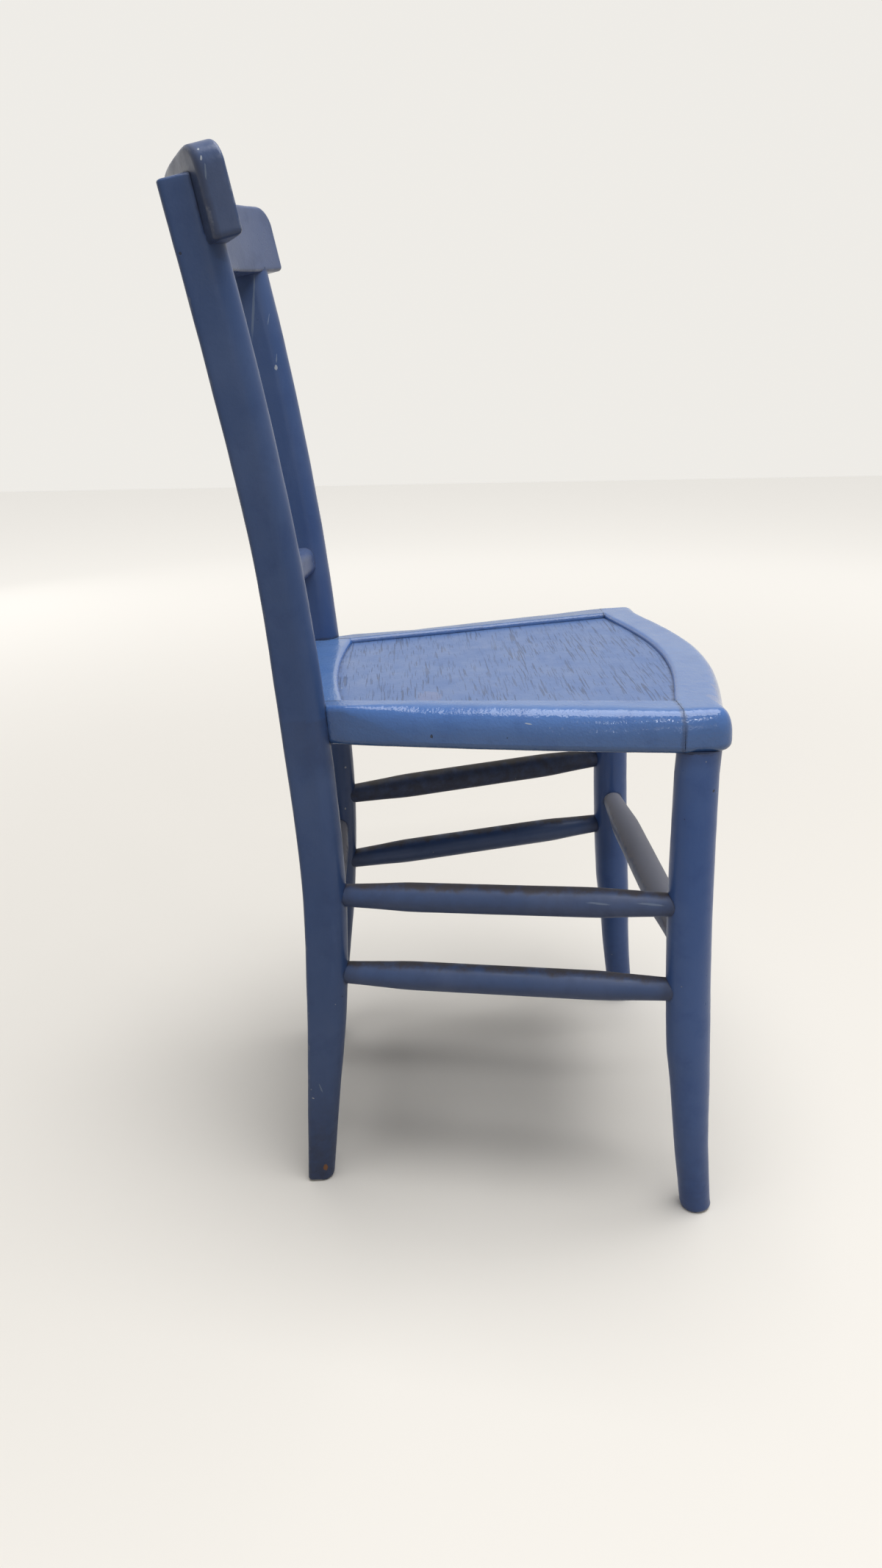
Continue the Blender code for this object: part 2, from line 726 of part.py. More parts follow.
def build():
    for old in list(bpy.data.objects):
        bpy.data.objects.remove(old)
    parts = bpy.data.collections.new(CHAIR)
    tools = bpy.data.collections.new("cutters")
    bpy.context.scene.collection.children.link(parts)
    bpy.context.scene.collection.children.link(tools)

    front_edge = seat_point(0, outer_front(0), NOSE_BOTTOM_RADIUS - RAIL_THICKNESS).y
    crest_back = (CREST_BOW + CREST_THICKNESS) * math.cos(CREST_RAKE)
    rear_edge = CREST_FRONT + crest_back + CREST_HEIGHT * math.sin(CREST_RAKE)
    chair = empty(CHAIR, (0, -(front_edge + rear_edge) / 2, 0), (0, 0, 0), parts)
    seat = empty("seat_plane", (0, 0, SEAT_HEIGHT), (-SEAT_SLOPE, 0, 0), parts, chair)
    crest_lean = empty("crest_plane", (0, CREST_FRONT, CREST_BOTTOM), (-CREST_RAKE, 0, 0), parts, chair)
    stay_lean = empty("stay_plane", (0, STAY_FRONT, STAY_HEIGHT), (-STAY_RAKE, 0, 0), parts, chair)

    groove = panel_groove(tools, seat)
    opening = opening_tool(tools, seat)
    post_cuts = {1: [], -1: []}
    leg_cuts = {1: [], -1: []}
    finish = {}

    # Side stretchers, upper and lower on each side
    for side, word in ((1, "left"), (-1, "right")):
        for level, rear_height, front_height in (("upper", UPPER_REAR_HEIGHT, UPPER_FRONT_HEIGHT),
                                                 ("lower", LOWER_REAR_HEIGHT, LOWER_FRONT_HEIGHT)):
            name = f"side_stretcher_{word}_{level}"
            start = post_face(side, rear_height)
            end = leg_back(side, front_height)
            finish[stretcher(name, start, end, (SIDE_END_RADIUS, SIDE_SWELL_RADIUS),
                             SIDE_SWELL_START, parts, chair)] = "rod"
            in_post, in_leg = stretcher_socket(name + "_socket", start, end, SIDE_END_RADIUS, tools, chair)
            post_cuts[side].append(in_post)
            leg_cuts[side].append(in_leg)

    # Stretchers across the front and the rear
    start, end = leg_inner(-1, CROSS_HEIGHT), leg_inner(1, CROSS_HEIGHT)
    finish[stretcher("front_stretcher", start, end, (FRONT_END_RADIUS, FRONT_SWELL_RADIUS),
                     FRONT_SWELL_START, parts, chair)] = "rod"
    in_right, in_left = stretcher_socket("front_stretcher_socket", start, end, FRONT_END_RADIUS, tools, chair)
    leg_cuts[-1].append(in_right)
    leg_cuts[1].append(in_left)
    start, end = post_inner(-1, CROSS_HEIGHT), post_inner(1, CROSS_HEIGHT)
    finish[stretcher("rear_stretcher", start, end, (REAR_END_RADIUS, REAR_SWELL_RADIUS),
                     REAR_SWELL_START, parts, chair)] = "rod"
    in_right, in_left = stretcher_socket("rear_stretcher_socket", start, end, REAR_END_RADIUS, tools, chair)
    post_cuts[-1].append(in_right)
    post_cuts[1].append(in_left)

    # Crest rail with a dowel into each post
    crest = crest_blank("crest_rail", 0.0, parts, tools, crest_lean)
    finish[crest] = "frame"
    crest_room = as_cutter(crest_blank("crest_room", GAP, tools, tools, crest_lean))
    for side, word in ((1, "left"), (-1, "right")):
        first, last = crest_dowel_ends(side)
        finish[rod("crest_dowel_" + word, DOWEL_RADIUS, first, last, parts, crest_lean)] = "bare"
        reach = Vector((0, GAP, 0))
        hole = as_cutter(rod("crest_bore_" + word, DOWEL_RADIUS + GAP, first - reach, last + reach,
                             tools, crest_lean))
        boolean(crest, hole, "DIFFERENCE")
        post_cuts[side] += [crest_room, hole]
        post_cuts[side].append(stay_tenon("stay_mortise_" + word, side, GAP, tools, stay_lean))
        post_cuts[side].append(side_tenon("side_mortise_" + word, side, GAP, tools, seat))
        post_cuts[side].append(back_tenon("back_mortise_" + word, side, GAP, tools, seat))
    edge_bevel(crest, CREST_EASE, 2)
    crest.modifiers.move(len(crest.modifiers) - 1, 1)

    post_rooms = [as_cutter(post_blank("post_room_" + word, side, GAP, tools, chair))
                  for side, word in ((1, "left"), (-1, "right"))]
    finish[stay_rail(parts, tools, stay_lean, post_rooms)] = "frame"

    # Dowels between the front rail and the side rails
    front_holes = []
    side_holes = {1: [], -1: []}
    for side, word in ((1, "left"), (-1, "right")):
        for order, place in (("inner", 0), ("outer", 1)):
            x = side * (OPENING_FRONT_HALF + DOWEL_INSET + place * DOWEL_SPACING)
            first = Vector((x, -DOWEL_LENGTH / 2, -DOWEL_DROP))
            last = Vector((x, DOWEL_LENGTH / 2, -DOWEL_DROP))
            name = f"seat_dowel_{word}_{order}"
            finish[rod(name, DOWEL_RADIUS, first, last, parts, seat)] = "bare"
            reach = Vector((0, GAP, 0))
            hole = as_cutter(rod(name + "_bore", DOWEL_RADIUS + GAP, first - reach, last + reach,
                                 tools, seat))
            front_holes.append(hole)
            side_holes[side].append(hole)
        front_holes.append(as_cutter(rod("leg_socket_" + word, LEG_TENON_RADIUS + GAP, leg_top(side, 0.004),
                                         leg_top(side, -LEG_TENON_LENGTH - GAP), tools, chair)))

    finish[seat_front_rail(parts, seat, [opening, groove] + front_holes)] = "frame"
    back_room = slab("back_rail_room", back_rail_outline(GAP), 3 * RAIL_THICKNESS, tools, seat)
    as_cutter(back_room)
    for side, word, post_room in ((1, "left", post_rooms[0]), (-1, "right", post_rooms[1])):
        cuts = [opening, post_room, back_room, groove] + side_holes[side]
        finish[seat_side_rail("seat_side_rail_" + word, side, parts, tools, seat, cuts)] = "frame"
        finish[rear_post("rear_post_" + word, side, parts, chair, post_cuts[side])] = "leg"
        finish[front_leg("front_leg_" + word, side, parts, tools, chair, leg_cuts[side])] = "leg"
    finish[seat_back_rail(parts, tools, seat, [opening] + post_rooms + [groove])] = "frame"
    finish[seat_panel(parts, seat)] = "panel"

    looks = {
        "frame": material("blue_paint_frame", (0.075, 0.145, 0.38), 0.32),
        "leg": material("blue_paint_legs", (0.050, 0.095, 0.25), 0.38),
        "rod": material("blue_paint_stretchers", (0.045, 0.080, 0.20), 0.45),
        "panel": material("blue_paint_panel", (0.160, 0.240, 0.50), 0.40),
        "bare": material("bare_beech", (0.48, 0.31, 0.17), 0.60),
    }
    for made, look in finish.items():
        made.data.materials.clear()
        made.data.materials.append(looks[look])


build()
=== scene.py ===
import math

import bmesh
import bpy
from mathutils import Matrix, Vector, noise


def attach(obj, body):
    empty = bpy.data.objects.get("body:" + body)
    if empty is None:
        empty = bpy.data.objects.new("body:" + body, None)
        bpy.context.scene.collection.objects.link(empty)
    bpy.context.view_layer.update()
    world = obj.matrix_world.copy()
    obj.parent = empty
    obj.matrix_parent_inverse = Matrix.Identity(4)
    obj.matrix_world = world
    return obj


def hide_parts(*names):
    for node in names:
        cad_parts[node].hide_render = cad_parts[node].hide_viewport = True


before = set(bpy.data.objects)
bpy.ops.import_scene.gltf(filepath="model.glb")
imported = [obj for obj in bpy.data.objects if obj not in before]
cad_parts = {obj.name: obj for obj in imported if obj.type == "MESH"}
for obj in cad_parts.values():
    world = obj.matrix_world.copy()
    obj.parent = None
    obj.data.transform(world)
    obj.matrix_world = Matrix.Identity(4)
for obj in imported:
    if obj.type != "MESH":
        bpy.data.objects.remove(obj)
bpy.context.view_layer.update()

print("frame loaded")

# The whole chair, in metres. It faces -Y, and X = 0 is its middle.
chair = {
    "shiftY": -0.153879,        # the joint of front rail and side rails, from the middle of the chair
    "seatHeight": 0.4468,
    "seatSlope": math.radians(1.85),
    "handmade": 0.00022,        # how far the surfaces wander
    "soleHeight": 0.004,        # the eased edge of the feet ends here
    "footTop": 0.006,
}


# Helpers for objects and nodes

def linkObject(name, data):
    thing = bpy.data.objects.new(name, data)
    bpy.context.scene.collection.objects.link(thing)
    return thing


def newMaterial(name):
    material = bpy.data.materials.new(name)
    material.use_nodes = True
    return material, material.node_tree, material.node_tree.nodes["Principled BSDF"]


def newGroup(name, inputs, outputs, kind="ShaderNodeTree"):
    group = bpy.data.node_groups.new(name, kind)
    for label, socketKind, value in inputs:
        socket = group.interface.new_socket(label, in_out="INPUT", socket_type="NodeSocket" + socketKind)
        if value is not None:
            socket.default_value = value
    for label, socketKind in outputs:
        group.interface.new_socket(label, in_out="OUTPUT", socket_type="NodeSocket" + socketKind)
    return group, group.nodes.new("NodeGroupInput").outputs, group.nodes.new("NodeGroupOutput")


def fill(tree, node, pairs):
    # Each pair is an input and what goes into it: a number, a tuple, another node's output, or nothing
    for label, given in pairs:
        socket = node.inputs[label]
        if isinstance(given, (int, float)):
            socket.default_value = given
        elif isinstance(given, tuple):
            socket.default_value = (*given, 1.0) if socket.type == "RGBA" else given
        elif given is not None:
            tree.links.new(given, socket)
    return node


def calc(tree, operation, a, b, clamp=False):
    node = tree.nodes.new("ShaderNodeMath")
    node.operation = operation
    node.use_clamp = clamp
    return fill(tree, node, enumerate((a, b))).outputs[0]


def times(tree, a, b, clamp=False):
    return calc(tree, "MULTIPLY", a, b, clamp)


def plus(tree, a, b, clamp=False):
    return calc(tree, "ADD", a, b, clamp)


def minus(tree, a, b):
    return calc(tree, "SUBTRACT", a, b)


def larger(tree, a, b):
    return calc(tree, "MAXIMUM", a, b)


def swing(tree, pattern, size):
    # A pattern around 0.5, as one around 0
    return times(tree, minus(tree, pattern, 0.5), size)


def ramp(tree, value, low, high, outLow=0.0, outHigh=1.0):
    node = tree.nodes.new("ShaderNodeMapRange")
    node.interpolation_type = "SMOOTHSTEP"
    return fill(tree, node, enumerate((value, low, high, outLow, outHigh))).outputs[0]


def blend(tree, share, first, second):
    node = tree.nodes.new("ShaderNodeMix")
    node.data_type = "RGBA"
    return fill(tree, node, ((0, share), (6, first), (7, second))).outputs[2]


def vectorCalc(tree, operation, pairs):
    node = tree.nodes.new("ShaderNodeVectorMath")
    node.operation = operation
    return fill(tree, node, pairs).outputs["Value" if operation == "LENGTH" else "Vector"]


def place(tree, stretch=None, shift=None):
    # Object coordinates, stretched and shifted by vectors
    spot = tree.nodes.new("ShaderNodeTexCoord").outputs["Object"]
    if stretch is None and shift is None:
        return spot
    node = tree.nodes.new("ShaderNodeMapping")
    node.vector_type = "POINT"
    return fill(tree, node, (("Vector", spot), ("Scale", stretch), ("Location", shift))).outputs[0]


def cloud(tree, vector, scale, detail, roughness):
    node = tree.nodes.new("ShaderNodeTexNoise")
    pairs = (("Vector", vector), ("Scale", scale), ("Detail", detail), ("Roughness", roughness))
    return fill(tree, node, pairs).outputs[0]


# Camera, floor and light

photoView = {
    "height": 2133,
    "focalPixels": 1599.83,
    "place": (-0.99809, 0.05037, 0.68977),
    "turn": -0.033708,
    "tilt": 0.348142,
    "roll": 0.014930,
}


def makeCamera(view):
    turn, tilt, roll = view["turn"], view["tilt"], view["roll"]
    ahead = Vector((math.cos(turn) * math.cos(tilt), math.sin(turn) * math.cos(tilt), -math.sin(tilt)))
    right = ahead.cross(Vector((0, 0, 1))).normalized()
    down = ahead.cross(right)
    across = math.cos(roll) * right + math.sin(roll) * down
    below = -math.sin(roll) * right + math.cos(roll) * down
    data = bpy.data.cameras.new("photoCamera")
    data.sensor_width = 36.0
    data.lens = view["focalPixels"] * 36.0 / view["height"]
    data.clip_start = 0.02
    camera = linkObject("photoCamera", data)
    camera.matrix_world = Matrix((
        (across.x, -below.x, -ahead.x, view["place"][0]),
        (across.y, -below.y, -ahead.y, view["place"][1]),
        (across.z, -below.z, -ahead.z, view["place"][2]),
        (0, 0, 0, 1)))
    bpy.context.scene.camera = camera


studio = {
    "floor": (0.80, 0.77, 0.72),
    "floorBounce": (0.30, 0.23, 0.17),      # how bright the floor is for the light it throws back
    "floorRoughness": 0.75,
    "floorHalf": 6,
    "backdrop": (0.86, 0.84, 0.80),
    "worldColour": (1.0, 0.985, 0.96),
    "worldStrength": 0.24,
    "lights": (
        # name, place, sizes, power
        ("ceilingLight", (-0.20, -0.45, 2.95), (2.3, 2.3), 88.0),
        ("upperPane", (-2.06, -0.14, 2.16), (1.18, 0.024), 7.5),
        ("lowerPane", (-2.64, -0.05, 1.01), (1.30, 0.014), 2.2),
        ("rearFill", (2.20, 1.80, 1.20), (2.0, 2.0), 5.0)),
    "lightsAim": (0, 0, 0.45),
    "sweepFrom": 0.3,           # the floor turns into the backdrop between these distances
    "sweepTo": 3.4,
    "sweepLight": 0.52,
    "sweepColour": (1.0, 0.98, 0.94),
}


def lookedAt(tree):
    # 1 for the camera, for gloss and for glass, 0 for the light that bounces
    path = tree.nodes.new("ShaderNodeLightPath").outputs
    seen = larger(tree, path["Is Camera Ray"], path["Is Glossy Ray"])
    return larger(tree, seen, path["Is Transmission Ray"])


def makeFloor(look):
    half = look["floorHalf"]
    mesh = bpy.data.meshes.new("studioFloor")
    corners = [(x * half, y * half, 0) for x, y in ((-1, -1), (1, -1), (1, 1), (-1, 1))]
    mesh.from_pydata(corners, [], [(0, 1, 2, 3)])
    paint, tree, shader = newMaterial("paleFloor")
    seen = lookedAt(tree)
    away = vectorCalc(tree, "LENGTH", ((0, place(tree)),))
    sweep = ramp(tree, away, look["sweepFrom"], look["sweepTo"], 0.0, look["sweepLight"])
    fromBelow = tree.nodes.new("ShaderNodeNewGeometry").outputs["Backfacing"]
    fill(tree, shader, (("Base Color", blend(tree, seen, look["floorBounce"], look["floor"])),
                        ("Roughness", look["floorRoughness"]), ("Emission Color", look["sweepColour"]),
                        ("Emission Strength", times(tree, sweep, seen)),
                        ("Alpha", minus(tree, 1.0, fromBelow))))
    mesh.materials.append(paint)
    floor = linkObject("studioFloor", mesh)


def makeLights(look):
    for name, spot, (wide, long), power in look["lights"]:
        data = bpy.data.lights.new(name, "AREA")
        data.shape = "RECTANGLE"
        data.size, data.size_y = wide, long
        data.energy = power
        light = linkObject(name, data)
        light.location = spot
        light.rotation_euler = (Vector(look["lightsAim"]) - Vector(spot)).to_track_quat("-Z", "Y").to_euler()


def makeWorld(look):
    world = bpy.data.worlds.new("studioWorld")
    bpy.context.scene.world = world
    world.use_nodes = True
    tree = world.node_tree
    tree.nodes.clear()
    shades = []
    for colour, strength in ((look["worldColour"], look["worldStrength"]), (look["backdrop"], 1.0)):
        node = tree.nodes.new("ShaderNodeBackground")
        shades.append(fill(tree, node, (("Color", colour), ("Strength", strength))).outputs[0])
    mix = fill(tree, tree.nodes.new("ShaderNodeMixShader"), enumerate((lookedAt(tree), *shades)))
    fill(tree, tree.nodes.new("ShaderNodeOutputWorld"), (("Surface", mix.outputs[0]),))
    bpy.context.scene.view_settings.view_transform = "Standard"


makeCamera(photoView)
makeFloor(studio)
makeLights(studio)
makeWorld(studio)
print("camera and studio set")


# Helpers for meshes

def through(stations, height):
    # Smooth curve through the stations: the values after the height
    last = len(stations) - 2
    index = max(i for i in range(last + 1) if i == 0 or stations[i][0] <= height)
    low, high = stations[index], stations[index + 1]
    before, after = stations[max(index - 1, 0)], stations[min(index + 2, last + 1)]
    span = high[0] - low[0]
    t = (height - low[0]) / span
    values = []
    for column in range(1, len(low)):
        rise = span * (high[column] - before[column]) / (high[0] - before[0])
        fall = span * (after[column] - low[column]) / (after[0] - low[0])
        values.append((2 * t**3 - 3 * t**2 + 1) * low[column] + (t**3 - 2 * t**2 + t) * rise
                      + (3 * t**2 - 2 * t**3) * high[column] + (t**3 - t**2) * fall)
    return values


def steps(first, last, count):
    return [first + (last - first) * i / count for i in range(count + 1)]


def arc(x, y, radius, first, last, count, mark=1.0):
    # Points on an arc, each with its edge mark
    turns = [math.radians(a) for a in steps(first, last, count)]
    return [(x + radius * math.cos(a), y + radius * math.sin(a), mark * math.sin(math.pi * i / count))
            for i, a in enumerate(turns)]

def ease(value, low, high):
    t = min(1.0, max(0.0, (value - low) / (high - low)))
    return t * t * (3 - 2 * t)


def wander(point, size, seed):
    # Slow hand-made unevenness of a surface, in metres
    spot = Vector(point) * 26 + Vector((seed * 7.1, seed * 3.3, seed * 5.7))
    return size * (noise.noise(spot) + 0.4 * noise.noise(spot * 3.1))


def newShape():
    shape = bmesh.new()
    return shape, shape.verts.layers.float.new("edgeMark")


def rimOf(grid):
    # Once round the edge of a grid
    last, top = len(grid) - 1, len(grid[0]) - 1
    return ([grid[i][0] for i in range(last)] + [grid[last][j] for j in range(top)]
            + [grid[i][top] for i in range(last, 0, -1)] + [grid[0][j] for j in range(top, 0, -1)])


def gridFaces(shape, grid):
    for first, second in zip(grid, grid[1:]):
        for j in range(len(first) - 1):
            shape.faces.new((first[j], second[j], second[j + 1], first[j + 1]))


def bridge(shape, loops):
    count = len(loops[0])
    for lower, upper in zip(loops, loops[1:]):
        for i in range(count):
            j = (i + 1) % count
            shape.faces.new((lower[i], lower[j], upper[j], upper[i]))


def finishMesh(name, shape, seed=None, sharp=38):
    # With a seed the surface wanders a little, except at the soles
    if seed is not None:
        bmesh.ops.recalc_face_normals(shape, faces=shape.faces)
        shape.normal_update()
        moves = [(vert, vert.normal * wander(vert.co, chair["handmade"], seed)) for vert in shape.verts
                 if vert.co.z > chair["soleHeight"]]
        for vert, move in moves:
            vert.co += move
    bmesh.ops.remove_doubles(shape, verts=shape.verts, dist=0.000004)
    bmesh.ops.recalc_face_normals(shape, faces=shape.faces)
    if shape.calc_volume(signed=True) < 0:
        bmesh.ops.reverse_faces(shape, faces=shape.faces)
    mesh = bpy.data.meshes.new(name)
    shape.to_mesh(mesh)
    shape.free()
    mesh.shade_smooth()
    mesh.set_sharp_from_angle(angle=math.radians(sharp))
    return linkObject(name, mesh)


def skin(name, rings, seed, sharp=38):
    # Closed skin through rings of (point, edge mark). The mark is how near an arris the point is.
    shape, edgeLayer = newShape()
    loops = []
    for ring in rings:
        loop = []
        for point, mark in ring:
            vert = shape.verts.new(point)
            vert[edgeLayer] = mark
            loop.append(vert)
        loops.append(loop)
    bridge(shape, loops)
    for loop in (loops[0], loops[-1]):
        shape.faces.new(loop)
    return finishMesh(name, shape, seed, sharp)


def setMark(piece, name, rule):
    # Float for each point of the piece, from a rule on its place
    mesh = piece.data
    layer = mesh.attributes.get(name) or mesh.attributes.new(name, "FLOAT", "POINT")
    values = [rule(vert.co) for vert in mesh.vertices]
    layer.data.foreach_set("value", values)


def dress(piece, slot, material, *nodes):
    piece.data.materials.clear()
    piece.data.materials.append(material)
    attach(piece, "root")
    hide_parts(*nodes)


# Rear posts

rearPost = {
    "behind": 0.250,            # the stations' faces are counted from here
    # height, front face, depth, centre to middle of chair, width
    "stations": ((0.000, 0.0260, 0.0225, 0.1180, 0.0220), (0.086, 0.0170, 0.0275, 0.1190, 0.0255),
                 (0.186, 0.0065, 0.0335, 0.1200, 0.0290), (0.296, 0.0038, 0.0348, 0.1205, 0.0300),
                 (0.436, 0.0130, 0.0355, 0.1210, 0.0300), (0.556, 0.0264, 0.0330, 0.1265, 0.0290),
                 (0.676, 0.0457, 0.0335, 0.1335, 0.0275), (0.8025, 0.0712, 0.0325, 0.1400, 0.0260)),
    "roundShare": 0.45,
    "backEdge": 0.0035,
    "footEase": 0.0035,
    "topEase": 0.002,
    "lapGap": 0.0015,
    "rings": 360,
    "closest": 0.0004,
    "jointHalf": 0.006,
    # heights of the joints, where the rings are closer
    "joints": (0.2763, 0.2050, 0.2445, 0.4383, 0.4063, 0.500, 0.526, 0.7655),
}


def postAt(height):
    behind, depth, centre, width = through(rearPost["stations"], height)
    return rearPost["behind"] + behind, depth, centre, width


def postSection(width, depth):
    # Round in front, flat at the sides and behind. Each point has its edge mark.
    half, nose, edge = width / 2, depth * rearPost["roundShare"], rearPost["backEdge"]
    start, back = -depth / 2 + nose, depth / 2
    points = [(half * math.cos(a), start - nose * math.sin(a), 0.0) for a in steps(0, math.pi, 26)]
    side = steps(start, back - edge, 6)[1:-1]
    points += [(-half, y, 0.0) for y in side]
    points += arc(-half + edge, back - edge, edge, 180, 90, 6)
    points += [(x, back, 0.0) for x in steps(-half + edge, half - edge, 7)[1:-1]]
    points += arc(half - edge, back - edge, edge, 90, 0, 6)
    points += [(half, y, 0.0) for y in reversed(side)]
    return points


def postRing(side, height, inset=0.0, lift=0.0, mark=0.0):
    top = rearPost["stations"][-1][0]
    front, depth, centre, width = postAt(height)
    high, low = min(height + 0.004, top), max(height - 0.004, 0)
    above, below = postAt(high), postAt(low)
    slope = (above[0] + above[1] / 2 - below[0] - below[1] / 2) / (high - low)
    lean = math.atan(slope) * min(1.0, height / 0.1)
    ring = []
    for across, deep, edge in postSection(width - 2 * inset, depth - 2 * inset):
        y = front + depth / 2 + deep * math.cos(lean) + lift * math.sin(lean)
        z = height - deep * math.sin(lean) + lift * math.cos(lean)
        ring.append((Vector((side * (centre + across), y + chair["shiftY"], z)), max(edge, mark)))
    return ring


def postGap(co):
    # How far a point is outside the nearest post
    front, depth, centre, width = postAt(co.z)
    half, nose = width / 2, depth * rearPost["roundShare"]
    across, deep = abs(abs(co.x) - centre), co.y - chair["shiftY"] - front
    if deep < nose:
        return (math.hypot(across / half, (deep - nose) / nose) - 1) * min(half, nose)
    return max(across - half, deep - depth)


def crestRear(x, z):
    # The crest rail's rear face, which the lap in the post follows
    up = (z - crestRail["bottom"]) * math.tan(crestRail["rake"])
    deep = crestBow(x) + crestRail["thickness"]
    return crestRail["front"] + deep / math.cos(crestRail["rake"]) + up + chair["shiftY"]


def footTurns(first, count):
    # The eased edge of a foot: how far up, how far out, edge mark, all from 0 to 1
    turns = [math.radians(a) for a in steps(first, 90, count)]
    return [(1 - math.cos(turn), 1 - math.sin(turn), math.cos(turn * 0.8)) for turn in turns]


def makePost(side, word, seed):
    top, topEase, lap = rearPost["stations"][-1][0], rearPost["topEase"], crestRail["bottom"]
    rings = [postRing(side, chair["soleHeight"] * up + 0.00001, rearPost["footEase"] * inset, 0.0, mark)
             for up, inset, mark in footTurns(0, 6)]
    heights = steps(chair["footTop"], top - topEase, rearPost["rings"])
    for joint in rearPost["joints"]:
        heights += steps(joint - rearPost["jointHalf"], joint + rearPost["jointHalf"], 15)
    last = 0.0
    for height in sorted(heights):
        if height - last > rearPost["closest"]:
            rings.append(postRing(side, height))
            last = height
    for a in steps(15, 90, 5):
        turn = math.radians(a)
        inset, lift = topEase * (1 - math.cos(turn)), topEase * math.sin(turn)
        # Mark 1 on the eased top edge: rubbed paint, and a pale painted highlight line along the top
        rings.append(postRing(side, top - topEase, inset, lift, 1.0))
    for ring in rings:
        for i, (point, mark) in enumerate(ring):
            if point.z > lap + rearPost["lapGap"]:
                rear = crestRear(point.x, point.z) + 0.0002
                if point.y < rear:
                    ring[i] = (Vector((point.x, rear, point.z)), 0.0)
    return skin("rearPost" + word, rings, seed)


# Front legs

frontLeg = {
    # height, centre line from the joint, radius
    "stations": ((0.000, -0.0370, 0.0128), (0.068, -0.0295, 0.0143), (0.119, -0.0255, 0.0160),
                 (0.161, -0.0216, 0.0175), (0.276, -0.0160, 0.0174), (0.396, -0.0142, 0.0166)),
    "halfSpacing": 0.1790,
    "footHalfSpacing": 0.1770,
    "footEase": 0.0035,
    "intoSeat": 0.0015,
    "sides": 48,
    "rings": 230,
}


def legCentre(side, height):
    top = frontLeg["stations"][-1][0]
    y, radius = through(frontLeg["stations"], min(height, top))
    x = frontLeg["footHalfSpacing"] + (frontLeg["halfSpacing"] - frontLeg["footHalfSpacing"]) * height / top
    return Vector((side * x, y + chair["shiftY"], height)), radius


def legGap(co):
    # How far a point is outside the nearest leg
    centre, radius = legCentre(math.copysign(1, co.x), co.z)
    return math.hypot(co.x - centre.x, co.y - centre.y) - radius


def legRing(centre, radius, mark=0.0):
    # Starts at the rear, where the seam is out of sight
    turns = steps(0, 2 * math.pi, frontLeg["sides"])[:-1]
    return [(centre + Vector((radius * math.sin(a), radius * math.cos(a), 0)), mark) for a in turns]


def makeFrontLeg(side, word, seed):
    foot, footRadius = legCentre(side, 0)
    top, lean, _ = frontLeg["stations"][-1]
    rings = [legRing(foot, footRadius - frontLeg["footEase"], 1.0)]
    for up, inset, mark in footTurns(12, 6):
        rings.append(legRing(foot + Vector((0, 0, chair["soleHeight"] * up)),
                             footRadius - frontLeg["footEase"] * inset, mark))
    for height in steps(chair["footTop"], top, frontLeg["rings"]):
        rings.append(legRing(*legCentre(side, height)))
    under = seatPoint(side * frontLeg["halfSpacing"], lean, frontLeg["intoSeat"] - seatFrame["thickness"])
    last, radius = legCentre(side, top)
    for share in steps(0, 1, 10)[1:]:
        rings.append(legRing(last.lerp(under, share), radius))
    return skin("frontLeg" + word, rings, seed)


# Seat frame

seatFrame = {
    "thickness": 0.032,
    "halfWidth": 0.194,
    "frontWidth": 0.0385,
    "frontBow": 0.0235,
    "bowHalf": 0.165,
    "bowPower": 1.3,
    "cornerRadius": 0.0135,
    "openingFront": 0.157,
    "openingRear": 0.106,
    "openingDepth": 0.250,
    "rearBow": 0.008,
    "sideBow": 0.0035,
    "sideRear": 0.128,
    "backRailRear": 0.290,
    "sideNoseIn": 0.0190,       # the bull nose along the sides
    "sideNoseDown": 0.0260,
    "jointNoseIn": 0.0145,      # at the joint, where it covers the dowels
    "jointNoseDown": 0.0235,
    "noseGrows": (0.014, 0.055),
    "frontNoseIn": 0.0130,      # and along the front
    "frontNoseDown": 0.0225,
    "noseFull": 0.84,           # 1 is an ellipse, less is fuller
    "noseSteps": 14,
    "noseTurn": 90.0,
    "noseBottom": 0.006,
    "stopIn": 0.0045,           # the nose where it dies out at the post
    "stopDown": 0.0045,
    "stopTurn": 48.0,
    "stopLength": 0.056,
    "bead": 0.004,
    # the inner face below the bead, with the panel's groove: how far out, height
    "innerFace": ((0.0, -0.0043), (0.0061, -0.0044), (0.0061, -0.0098), (0.0, -0.0099), (0.0, -0.020)),
    "underEdge": 0.0006,
    "joint": 0.00015,           # half of the gap at a joint
    "overrun": 0.024,
    "backRailHalf": 0.1092,
    "backJointFrom": 0.098,
    "backNose": 0.003,
    "backNoseBottom": 0.0012,
}


def seatPoint(x, y, z):
    slope = chair["seatSlope"]
    return Vector((x, y * math.cos(slope) + z * math.sin(slope) + chair["shiftY"],
                   chair["seatHeight"] - y * math.sin(slope) + z * math.cos(slope)))


def frontWave(x):
    inside = max(0.0, 1 - (x / seatFrame["bowHalf"]) ** 2)
    return seatFrame["frontBow"] * inside ** seatFrame["bowPower"]


def openingFront(x):
    return frontWave(seatFrame["openingFront"]) - frontWave(x)


def openingSide(y):
    taper = (seatFrame["openingRear"] - seatFrame["openingFront"]) / seatFrame["openingDepth"]
    return seatFrame["openingFront"] + taper * y


def outerSide(y):
    share = y / seatFrame["openingDepth"]
    straight = seatFrame["halfWidth"] + (seatFrame["sideRear"] - seatFrame["halfWidth"]) * share
    return straight + 4 * seatFrame["sideBow"] * share * (1 - share)


def rearEdge(x, grow):
    half = openingSide(seatFrame["openingDepth"] + grow) + grow
    return seatFrame["openingDepth"] + grow + seatFrame["rearBow"] * (1 - (x / half) ** 2)


